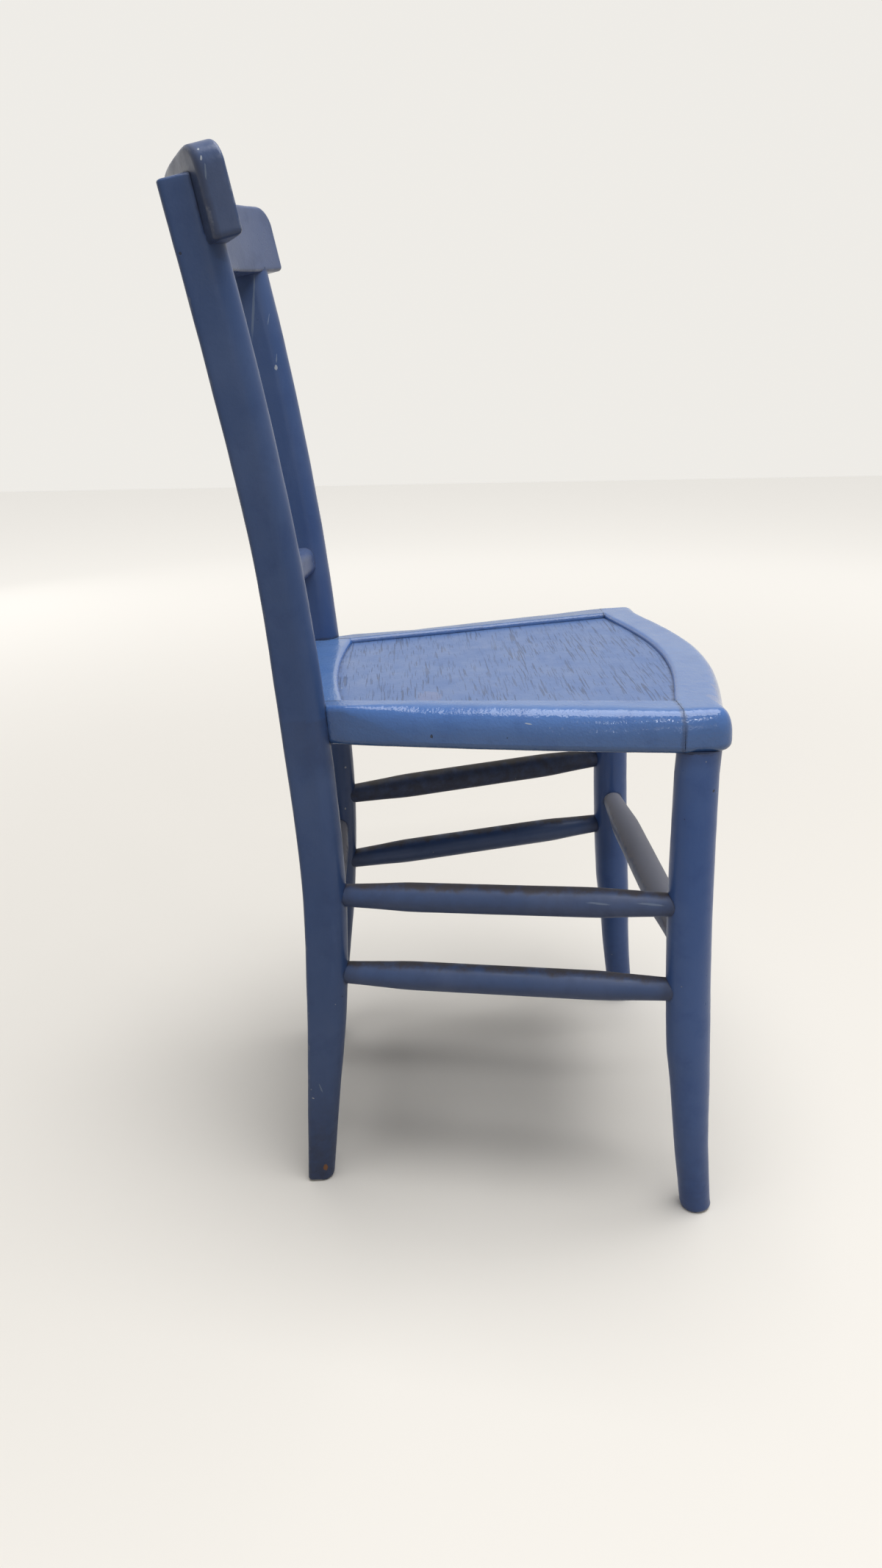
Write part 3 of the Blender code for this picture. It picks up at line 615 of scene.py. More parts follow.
def railSection(noseIn, noseDown, noseTurn, noseBottom):
    # From the underside round the nose, over the top, down the bead and the inner face with its groove.
    # Outer points are (out, distance in, height, mark), inner points are (in, distance out, height, mark).
    thick, bead, full = seatFrame["thickness"], seatFrame["bead"], seatFrame["noseFull"]
    under, count = seatFrame["underEdge"], seatFrame["noseSteps"]
    section = []
    for i, a in enumerate(steps(-90, 0, 5)):
        turn = math.radians(a)
        section.append(("out", noseBottom * (1 - math.cos(turn)), noseBottom * (1 + math.sin(turn)) - thick,
                        0.5 * math.sin(math.pi * i / 5)))
    section += [("out", 0.0, z, 0.0) for z in steps(noseBottom - thick, -noseDown, 3)[1:-1]]
    end = math.radians(noseTurn)
    for i, a in enumerate(steps(noseTurn, 0, count)):
        turn = math.radians(a)
        across = max(0.0, math.sin(turn) / math.sin(end)) ** full
        drop = 1 - max(0.0, (math.cos(turn) - math.cos(end)) / (1 - math.cos(end))) ** full
        # soft marks the middle of the nose and arris its upper edge; where the nose dies out at the post they
        # lay a pale painted highlight line through the edge wear
        soft = (0.8 - 0.45 * ease(noseDown, 0.004, 0.012)) * math.sin(math.pi * i / count)
        arris = 0.9 * (1 - ease(noseDown, 0.010, 0.022)) * max(0.0, 1 - i / 2)
        section.append(("out", noseIn * (1 - across), -noseDown * drop, max(soft, arris)))
    section += [("top", share, 0.0, 0.0) for share in steps(0, 1, 9)[1:-1]]
    for i, a in enumerate(steps(90, 0, 8)):
        turn = math.radians(a)
        section.append(("in", bead * (1 - math.cos(turn)), bead * (math.sin(turn) - 1),
                        0.6 * math.sin(math.pi * i / 8)))
    section += [("in", out, z, 0.0) for out, z in seatFrame["innerFace"]]
    section += [("in", 0.0, under - thick, 0.5), ("in", under, -thick, 0.5)]
    section += [("under", share, -thick, 0.0) for share in steps(0, 1, 4)[1:-1]]
    return section


def railRing(outer, inward, innerAt, section, noseIn, noseBottom):
    # outer and inward are flat vectors in the seat's plane. innerAt gives the inner edge for a distance out.
    ring = []
    topOut, topIn = outer + inward * noseIn, innerAt(seatFrame["bead"])
    lowOut, lowIn = outer + inward * noseBottom, innerAt(seatFrame["underEdge"])
    for kind, amount, height, mark in section:
        if kind == "out":
            flat = outer + inward * amount
        elif kind == "in":
            flat = innerAt(amount)
        elif kind == "top":
            flat = topOut.lerp(topIn, amount)
        else:
            flat = lowIn.lerp(lowOut, amount)
        ring.append((seatPoint(flat.x, flat.y, height), mark))
    return ring


def noseAt(name, share):
    # The nose grows out of the smaller one at the joint
    return [seatFrame["jointNose" + way] + (seatFrame[name + way] - seatFrame["jointNose" + way]) * share
            for way in ("In", "Down")]


def makeFrontRail(seed):
    look = seatFrame
    gap, half, corner = look["joint"], look["halfWidth"], look["cornerRadius"]
    face = openingFront(half) - look["frontWidth"]
    side, turn = half - corner, face + corner
    path = [(-half, y) for y in steps(-gap, turn, 14)]
    path += [(x, y) for x, y, _ in arc(-side, turn, corner, 180, 270, 18)[1:]]
    path += [(x, openingFront(x) - look["frontWidth"]) for x in steps(-side, side, 190)[1:]]
    path += [(x, y) for x, y, _ in arc(side, turn, corner, 270, 360, 18)[1:]]
    path += [(half, y) for y in steps(turn, -gap, 14)[1:]]
    path = [Vector(point) for point in path]
    last = len(path) - 1
    rings = []
    for i, point in enumerate(path):
        ahead = path[min(i + 1, last)] - path[max(i - 1, 0)]
        inward = Vector((-ahead.y, ahead.x)).normalized()

        def innerAt(grow, i=i, point=point):
            edge = openingSide(-grow) + grow
            if i in (0, last):
                return Vector((math.copysign(openingSide(0) + grow, point.x), -gap))
            x = max(-edge, min(edge, point.x * (edge / (side - 0.004))))
            return Vector((x, min(openingFront(x), 0) - max(grow, gap)))

        noseIn, noseDown = noseAt("frontNose", min(1.0, point.y / turn))
        section = railSection(noseIn, noseDown, look["noseTurn"], look["noseBottom"])
        rings.append(railRing(point, inward, innerAt, section, noseIn, look["noseBottom"]))
    return skin("seatFrontRail", rings, seed)


def makeSideRail(side, word, seed):
    look = seatFrame
    depth, bead = look["openingDepth"], look["bead"]
    run = [("opening", s) for s in steps(0, 1, 190)]
    tail = [("tail", y) for y in steps(depth + bead + 0.0002, depth + look["overrun"], 26)]
    rings = []
    for kind, value in run + tail:
        y = look["joint"] + value * (depth + bead - look["joint"]) if kind == "opening" else value
        stop = min(1.0, max(0.0, (y - depth + look["stopLength"]) / look["stopLength"]))
        noseIn, noseDown = noseAt("sideNose", ease(y, *look["noseGrows"]))
        noseIn += (look["stopIn"] - noseIn) * stop
        noseDown += (look["stopDown"] - noseDown) * stop
        noseTurn = look["noseTurn"] + (look["stopTurn"] - look["noseTurn"]) * min(1.0, stop * 2.2)
        slope = (outerSide(y + 0.001) - outerSide(y - 0.001)) / 0.002
        inward = Vector((-side, side * slope * side)).normalized()

        def innerAt(grow, kind=kind, value=value):
            if kind == "tail":
                return Vector((side * (openingSide(depth + bead) + bead), value))
            along = look["joint"] + value * (depth + min(grow, bead) - look["joint"])
            return Vector((side * (openingSide(along) + grow), along))

        section = railSection(noseIn, noseDown, noseTurn, look["noseBottom"])
        outer = Vector((side * outerSide(y), y))
        rings.append(railRing(outer, inward, innerAt, section, noseIn, look["noseBottom"]))
    return skin("seatSideRail" + word, rings, seed, sharp=26)


def makeBackRail(seed):
    look = seatFrame
    depth, bead = look["openingDepth"], look["bead"]
    nose, under = look["backNose"], look["backNoseBottom"]
    section = railSection(nose, nose, look["noseTurn"], under)
    halfTop = openingSide(depth + bead) + bead - 2 * look["joint"]
    rings = []
    for share in steps(-1, 1, 120):
        def innerAt(grow, share=share):
            half = min(openingSide(depth + grow) + grow, halfTop)
            return Vector((share * half, rearEdge(share * half, min(grow, bead))))

        outer = Vector((share * halfTop, look["backRailRear"]))
        rings.append(railRing(outer, Vector((0, -1)), innerAt, section, nose, under))
    return skin("seatBackRail", rings, seed)


seatPanel = {"thickness": 0.005, "recess": 0.0045, "tongue": 0.0055, "unevenness": 0.00035,
             "across": 150, "deep": 130}


def makePanel(seed):
    # Flat panel whose edge lies in the groove of the rails
    grow, across, deep = seatPanel["tongue"], seatPanel["across"], seatPanel["deep"]
    shape, _ = newShape()
    levels = []
    for top in (0, 1):
        z = -seatPanel["recess"] - (0 if top else seatPanel["thickness"])
        grid = []
        for i in range(across + 1):
            row = []
            for j in range(deep + 1):
                u, v = 2 * i / across - 1, j / deep
                y = v * seatFrame["openingDepth"]
                for _ in range(4):
                    x = u * (openingSide(y) + grow)
                    front, rear = min(openingFront(x), 0) - grow, rearEdge(x, grow)
                    y = front + (rear - front) * v
                rise = seatPanel["unevenness"] * noise.noise(Vector((x * 14, y * 9, seed))) if top else 0.0
                row.append(shape.verts.new(seatPoint(x, y, z + rise)))
            grid.append(row)
        gridFaces(shape, grid)
        levels.append(grid)
    bridge(shape, [rimOf(grid) for grid in levels])
    return finishMesh("seatPanel", shape)


# Crest rail and stay

crestRail = {
    "half": 0.165,
    "height": 0.0565,
    "thickness": 0.0195,
    "bow": 0.039,
    "front": 0.3005,
    "bottom": 0.7655,
    "rake": math.radians(12.0),
    "topCorner": 0.017,
    "bottomCorner": 0.004,
    "ease": 0.0030,
    "columns": 120,
    "rows": 22,
    "forward": 0.0040,          # how far the right end stands forward
    "taller": 0.0030,           # how much the right end is taller, and the left end lower
}


def crestBow(x):
    forward = crestRail["forward"] * max(0.0, -x / crestRail["half"]) ** 1.5
    return crestRail["bow"] * (1 - (x / crestRail["half"]) ** 2) - forward


def crestPoint(x, y, z):
    rake = crestRail["rake"]
    return Vector((x, crestRail["front"] + y * math.cos(rake) + z * math.sin(rake) + chair["shiftY"],
                   crestRail["bottom"] - y * math.sin(rake) + z * math.cos(rake)))


def crestColumns(inset):
    # Lowest and highest point at each place along the rail, with its round corners
    half = crestRail["half"] - inset
    high, low = crestRail["topCorner"] - inset, max(crestRail["bottomCorner"] - inset, 0.0006)
    turns = [half - high * (1 - math.sin(math.radians(a))) for a in steps(0, 90, 14)]
    middle = steps(-half + high, half - high, crestRail["columns"])[1:-1]
    places = sorted([-x for x in turns] + middle + turns)
    columns = []
    for x in places:
        height = crestRail["height"] - crestRail["taller"] * x / crestRail["half"]
        outTop, outLow = max(0.0, abs(x) - (half - high)), max(0.0, abs(x) - (half - low))
        top = height - inset - high + math.sqrt(max(0.0, high**2 - outTop**2))
        bottom = inset + low - math.sqrt(max(0.0, low**2 - outLow**2))
        columns.append((x, bottom, top))
    return columns


def makeCrest(seed):
    look = crestRail
    rows, soft, thick = look["rows"], look["ease"], look["thickness"]
    shape, edgeLayer = newShape()

    def vertAt(x, z, y, mark=0.0):
        vert = shape.verts.new(crestPoint(x, y + crestBow(x), z))
        vert[edgeLayer] = mark
        return vert

    def spots(inset):
        return [[(x, low + (high - low) * j / rows) for j in range(rows + 1)]
                for x, low, high in crestColumns(inset)]

    def sheet(y):
        return [[vertAt(x, z, y) for x, z in column] for column in spots(soft)]

    def rimRing(inset, y, mark):
        return [vertAt(x, z, y, mark) for x, z in rimOf(spots(inset))]

    front, rear = sheet(0.0), sheet(thick)
    gridFaces(shape, front)
    gridFaces(shape, rear)
    turns = [math.radians(a) for a in steps(18, 90, 4)]
    marks = [math.sin(turn * 2) ** 0.5 for turn in turns[:-1]] + [0.3]
    edge = [(soft * (1 - math.sin(turn)), soft * (1 - math.cos(turn)), mark)
            for turn, mark in zip(turns, marks)]
    loops = [rimOf(front)] + [rimRing(*spot) for spot in edge]
    loops += [rimRing(0.0, y, 0.0) for y in steps(soft, thick - soft, 6)[1:-1]]
    loops += [rimRing(inset, thick - y, mark) for inset, y, mark in reversed(edge)]
    bridge(shape, loops + [rimOf(rear)])
    return finishMesh("crestRail", shape, seed)


stay = {
    "height": 0.513,
    "deep": 0.026,
    "thickness": 0.017,
    "bow": 0.013,
    "front": 0.2815,
    "rake": math.radians(7.0),
    "nose": 0.0090,
    "backEase": 0.0012,
    "intoPost": 0.002,
}


def makeStay(seed):
    _, _, centre, width = postAt(stay["height"])
    half = centre - width / 2 + stay["intoPost"]
    nose, edge, rake = stay["nose"], stay["backEase"], stay["rake"]
    tall, back = stay["deep"] / 2, stay["thickness"]
    section = arc(nose, -tall + nose, nose, 180, 270, 9, 0.6)
    section += arc(back - edge, -tall + edge, edge, 270, 360, 4)
    section += [(back, z, 0.0) for z in steps(-tall + edge, tall - edge, 5)[1:-1]]
    section += arc(back - edge, tall - edge, edge, 0, 90, 4)
    section += arc(nose, tall - nose, nose, 90, 180, 9, 0.6)
    section += [(0.0, z, 0.0) for z in steps(tall - nose, -tall + nose, 4)[1:-1]]
    rings = []
    for x in steps(-half, half, 110):
        bow = stay["bow"] * (1 - (x / half) ** 2)
        ring = []
        for y, z, mark in section:
            deep = stay["front"] + (y + bow) * math.cos(rake) + z * math.sin(rake) + chair["shiftY"]
            high = stay["height"] - (y + bow) * math.sin(rake) + z * math.cos(rake)
            ring.append((Vector((x, deep, high)), mark))
        rings.append(ring)
    return skin("stayRail", rings, seed)


# Turned stretchers, made by one geometry node tree

stretchers = {
    "socket": 0.015,
    "sideEnd": 0.0087,
    "sideSwell": 0.0120,
    "sideStart": 0.062,
    "upper": (0.2763, 0.2875),      # height at the post and at the leg
    "lower": (0.2050, 0.2128),
    "crossHeight": 0.2445,
    "frontEnd": 0.0090,
    "frontSwell": 0.0135,
    "frontStart": 0.085,
    "rearEnd": 0.0087,
    "rearSwell": 0.0120,
    "rearStart": 0.064,
    "swellCurve": ((0.30, 0.30), (0.62, 0.66), (0.86, 0.95)),   # share of the shoulder, share of the swell
    "unevenScale": 28.0,
}


def makeStretcherTree():
    tree, given, out = newGroup("turnedStretcher", (
        ("Geometry", "Geometry", None), ("Start", "Vector", None), ("End", "Vector", None),
        ("End Radius", "Float", 0.009), ("Swell Radius", "Float", 0.012), ("Shoulder Length", "Float", 0.06),
        ("Unevenness", "Float", 0.0002), ("Rings", "Int", 220), ("Sides", "Int", 32), ("Seed", "Float", 1.0),
        ("Paint", "Material", None)), (("Geometry", "Geometry"),), "GeometryNodeTree")

    def add(kind, *pairs):
        return fill(tree, tree.nodes.new(kind), pairs).outputs[0]

    # Distance to the nearer end, as a share of the shoulder
    where = tree.nodes.new("GeometryNodeSplineParameter").outputs["Length"]
    length = tree.nodes.new("GeometryNodeSplineLength").outputs["Length"]
    nearest = calc(tree, "MINIMUM", where, minus(tree, length, where))
    share = calc(tree, "DIVIDE", nearest, given["Shoulder Length"], True)
    swell = tree.nodes.new("ShaderNodeFloatCurve")
    for x, y in stretchers["swellCurve"]:
        swell.mapping.curves[0].points.new(x, y)
    swell.mapping.update()
    fill(tree, swell, (("Value", share),))
    more = minus(tree, given["Swell Radius"], given["End Radius"])
    radius = plus(tree, given["End Radius"], times(tree, more, swell.outputs[0]))

    line = add("GeometryNodeCurvePrimitiveLine", ("Start", given["Start"]), ("End", given["End"]))
    path = add("GeometryNodeResampleCurve", ("Curve", line), ("Count", given["Rings"]))
    circle = add("GeometryNodeCurvePrimitiveCircle", ("Resolution", given["Sides"]), ("Radius", 1.0))
    body = add("GeometryNodeCurveToMesh", ("Curve", path), ("Profile Curve", circle), ("Scale", radius),
               ("Fill Caps", True))

    # Slightly uneven from the lathe and the brush
    bumpy = tree.nodes.new("ShaderNodeTexNoise")
    bumpy.noise_dimensions = "4D"
    fill(tree, bumpy, (("Scale", stretchers["unevenScale"]), ("Detail", 2.0), ("W", given["Seed"])))
    amount = times(tree, swing(tree, bumpy.outputs[0], given["Unevenness"]), 2.0)
    push = vectorCalc(tree, "SCALE", ((0, add("GeometryNodeInputNormal")), ("Scale", amount)))
    moved = add("GeometryNodeSetPosition", ("Geometry", body), ("Offset", push))
    smooth = add("GeometryNodeSetShadeSmooth", ("Geometry", moved))
    painted = add("GeometryNodeSetMaterial", ("Geometry", smooth), ("Material", given["Paint"]))
    fill(tree, out, ((0, add("GeometryNodeRealizeInstances", (0, painted))),))
    return tree


def treeMesh(name, tree, values):
    # Runs a tree on an empty mesh and keeps the plain mesh that comes out
    holder = linkObject(name, bpy.data.meshes.new(name + "Start"))
    step = holder.modifiers.new(tree.name, "NODES")
    step.node_group = tree
    for item in tree.interface.items_tree:
        if item.in_out == "INPUT" and item.name in values:
            step[item.identifier] = values[item.name]
    graph = bpy.context.evaluated_depsgraph_get()
    mesh = bpy.data.meshes.new_from_object(holder.evaluated_get(graph), preserve_all_data_layers=True,
                                           depsgraph=graph)
    mesh.name = name
    holder.modifiers.remove(step)
    holder.data = mesh
    return holder


def postFace(side, height):
    front, _, centre, _ = postAt(height)
    return Vector((side * centre, front + chair["shiftY"], height))


def postInner(side, height):
    front, depth, centre, width = postAt(height)
    return Vector((side * (centre - width / 2), front + depth / 2 + chair["shiftY"], height))


def legBack(side, height):
    centre, radius = legCentre(side, height)
    return centre + Vector((0, radius, 0))


def legInner(side, height):
    centre, radius = legCentre(side, height)
    return centre - Vector((side * radius, 0, 0))


def stretcherList():
    # name, node, start, end, kind
    found = []
    for side, word, node in ((1, "Left", "left"), (-1, "Right", "right")):
        for level in ("upper", "lower"):
            rear, front = stretchers[level]
            found.append(("sideStretcher" + word + level.title(), f"side_stretcher_{node}_{level}",
                          postFace(side, rear), legBack(side, front), "side"))
    height = stretchers["crossHeight"]
    found.append(("frontStretcher", "front_stretcher", legInner(-1, height), legInner(1, height), "front"))
    found.append(("rearStretcher", "rear_stretcher", postInner(-1, height), postInner(1, height), "rear"))
    return found


# Paint and wood

def makeBrushGroup():
    # Gloss paint laid with a brush. Heights are in tenths of a millimetre.
    group, given, out = newGroup("brushedPaint", (
        ("Colour", "Color", (0.08, 0.15, 0.37, 1)), ("Thin", "Color", (0.14, 0.22, 0.45, 1)),
        ("Deep", "Color", (0.05, 0.09, 0.25, 1)), ("Stretch", "Vector", None), ("Gloss", "Float", 0.3),
        ("Peel", "Float", 0.5)),
        (("Colour", "Color"), ("Roughness", "Float"), ("Height", "Float")))
    streak = cloud(group, place(group, given["Stretch"]), 1.0, 4.0, 0.6)
    mottle = cloud(group, place(group), 9.0, 3.0, 0.55)
    patch = cloud(group, place(group, shift=(5.3, 1.9, 8.1)), 38.0, 4.0, 0.6)
    peel = cloud(group, place(group), 520.0, 1.5, 0.5)
    swell = cloud(group, place(group), 170.0, 2.0, 0.5)
    colour = given["Colour"]
    tones = ((mottle, 0.40, 0.66, 0.7, "Thin"), (patch, 0.46, 0.76, 0.45, "Deep"),
             (streak, 0.50, 0.78, 0.35, "Thin"))
    for pattern, low, high, share, tone in tones:
        colour = blend(group, ramp(group, pattern, low, high, 0.0, share), colour, given[tone])
    rough = plus(group, given["Gloss"], swing(group, patch, 0.30))
    rough = plus(group, rough, swing(group, streak, 0.16), True)
    fine = plus(group, times(group, peel, 1.3), times(group, swell, 1.8))
    height = plus(group, times(group, streak, 0.5), times(group, fine, given["Peel"]))
    fill(group, out, (("Colour", colour), ("Roughness", rough), ("Height", height)))
    return group


def makeWearGroup():
    # Rubbed arrises where the paint is thin and pale, also used as a painted highlight line on arrises, and
    # chips down to the wood
    group, given, out = newGroup("edgeWearAndHighlight", (
        ("Edge", "Float", 0.0), ("Rub", "Float", 0.5), ("Chip", "Float", 0.2), ("Scale", "Float", 75.0)),
        (("Rubbed", "Float"), ("Bare", "Float")))
    patches = cloud(group, place(group), given["Scale"], 4.0, 0.62)
    rare = cloud(group, place(group, shift=(3.1, 7.7, 1.3)), 24.0, 2.0, 0.5)
    rubbed = ramp(group, plus(group, times(group, given["Edge"], given["Rub"]), patches), 0.86, 1.08)
    chip = plus(group, times(group, given["Edge"], given["Chip"]), swing(group, rare, 1.1))
    bare = ramp(group, plus(group, chip, times(group, patches, 0.6)), 0.62, 0.65)
    bare = times(group, bare, ramp(group, given["Edge"], 0.15, 0.35))
    bare = times(group, bare, ramp(group, given["Chip"], 0.0, 0.05))
    fill(group, out, (("Rubbed", rubbed), ("Bare", bare)))
    return group


def makeGrimeGroup():
    # A dark broken crack in each joint, a little dirt beside it, and a dark film from the soil mark: soil
    # where nobody wipes, and painted shade
    group, given, out = newGroup("jointGrimeAndShade", (
        ("Joint", "Float", 0.0), ("Soil", "Float", 0.0), ("Amount", "Float", 0.7)),
        (("Line", "Float"), ("Film", "Float")))
    wobble = cloud(group, place(group), 190.0, 3.0, 0.6)
    line = ramp(group, plus(group, given["Joint"], swing(group, wobble, 0.16)), 0.91, 0.96)
    breaks = cloud(group, place(group, shift=(2.2, 4.4, 0.7)), 55.0, 2.0, 0.5)
    broken = cloud(group, place(group), 110.0, 4.0, 0.65)
    beside = ramp(group, plus(group, times(group, given["Joint"], 0.5), broken), 0.62, 1.0, 0.0, 0.55)
    beside = times(group, beside, ramp(group, given["Joint"], 0.05, 0.5))
    soilAndShade = times(group, given["Soil"], ramp(group, broken, 0.25, 0.70, 0.55, 1.0))
    fill(group, out, (("Line", times(group, line, ramp(group, breaks, 0.36, 0.46, 0.35, 1.0))),
                      ("Film", times(group, larger(group, beside, soilAndShade), given["Amount"], True))))
    return group


def makeDustGroup():
    # Dull film on what faces up: dust, and on the seat rails a pale painted sheen. Reach is how far round a
    # rod it comes down.
    group, given, out = newGroup("dustAndSheenFilm", (
        ("Amount", "Float", 0.3), ("Reach", "Float", 0.5), ("Patchy", "Float", 0.9)), (("Mask", "Float"),))
    facing = fill(group, group.nodes.new("ShaderNodeSeparateXYZ"), (
        (0, group.nodes.new("ShaderNodeNewGeometry").outputs["Normal"]),))
    patchy = cloud(group, place(group), 60.0, 5.0, 0.65)
    lift = plus(group, facing.outputs["Z"], swing(group, patchy, given["Patchy"]))
    low = minus(group, 1.0, given["Reach"])
    up = ramp(group, lift, low, plus(group, low, 0.35))
    fill(group, out, (("Mask", times(group, up, given["Amount"], True)),))
    return group


def makeCrazeGroup():
    # Fine checks that run across the seat with the grain below, in broken lengths
    group, given, out = newGroup("crazing", (
        ("Stretch", "Vector", None), ("Width", "Float", 0.035), ("Amount", "Float", 1.0)),
        (("Mask", "Float"),))
    spot = place(group, given["Stretch"])
    low = plus(group, given["Width"], 0.30)
    high = plus(group, low, 0.05)
    wide, narrow = [ramp(group, cloud(group, spot, scale, 1.0, 0.4), low, high, share, 0.0)
                    for scale, share in ((1.0, 1.0), (1.7, 0.7))]
    more = cloud(group, place(group), 16.0, 2.0, 0.5)
    mask = times(group, larger(group, wide, narrow), ramp(group, more, 0.32, 0.58, 0.35, 1.0))
    fill(group, out, (("Mask", times(group, mask, given["Amount"], True)),))
    return group


def makeFleckGroup():
    # Stray specks of pale paint and small dark pits
    group, given, out = newGroup("strayFlecks", (("Scale", "Float", 38.0), ("Size", "Float", 0.03)),
                                 (("Pale", "Float"), ("Dark", "Float")))
    for name, shift in (("Pale", (0.0, 0.0, 0.0)), ("Dark", (4.7, 2.9, 6.1))):
        cells = group.nodes.new("ShaderNodeTexVoronoi")
        cells.feature = "F1"
        fill(group, cells, (("Vector", place(group, shift=shift)), ("Scale", given["Scale"])))
        inner = times(group, given["Size"], 0.6)
        fill(group, out, ((name, ramp(group, cells.outputs["Distance"], inner, given["Size"], 1.0, 0.0)),))
    return group


def makeMarkGroup():
    # One blot at its own place, with ragged edges
    group, given, out = newGroup("paintMark", (
        ("Centre", "Vector", None), ("Size", "Vector", None), ("Turn", "Vector", None),
        ("Ragged", "Float", 0.5)), (("Mask", "Float"),))
    local = group.nodes.new("ShaderNodeMapping")
    local.vector_type = "TEXTURE"
    fill(group, local, (("Vector", place(group)), ("Location", given["Centre"]), ("Scale", given["Size"]),
                        ("Rotation", given["Turn"])))
    away = vectorCalc(group, "LENGTH", ((0, local.outputs[0]),))
    rough = cloud(group, local.outputs[0], 1.6, 4.0, 0.65)
    reach = plus(group, away, swing(group, rough, given["Ragged"]))
    fill(group, out, (("Mask", ramp(group, reach, 0.75, 1.0, 1.0, 0.0)),))
    return group


def makeGrainGroup():
    # Straight beech grain with short flecks
    group, given, out = newGroup("woodGrain", (
        ("Light", "Color", (0.40, 0.29, 0.20, 1)), ("Dark", "Color", (0.22, 0.145, 0.095, 1)),
        ("Stretch", "Vector", None)), (("Colour", "Color"), ("Height", "Float")))
    lines = cloud(group, place(group, given["Stretch"]), 1.0, 6.0, 0.7)
    colour = blend(group, ramp(group, lines, 0.35, 0.68), given["Light"], given["Dark"])
    fill(group, out, (("Colour", colour), ("Height", lines)))
    return group


groups = {"brush": makeBrushGroup(), "wearAndHighlight": makeWearGroup(), "grimeAndShade": makeGrimeGroup(),
          "dustAndSheen": makeDustGroup(), "craze": makeCrazeGroup(), "flecks": makeFleckGroup(),
          "mark": makeMarkGroup(), "grain": makeGrainGroup()}
print("shader groups built")

# Colours are linear. Stretch is how tight the pattern is along X, Y and Z.
paintBase = {
    "colour": (0.048, 0.136, 0.385), "thin": (0.072, 0.170, 0.430), "deep": (0.034, 0.098, 0.305),
    "stretch": (110, 110, 16), "gloss": 0.12, "peel": 1.5, "reflect": 1.48, "rubAndHighlight": 0.36, "chip": 0.0,
    "grimeAndShade": 0.85, "dustAndSheen": 0.10, "dustAndSheenReach": 0.5, "dustAndSheenPatchy": 0.9, "dustAndSheenColour": (0.170, 0.165, 0.175),
    "craze": 0.0, "marks": ()}

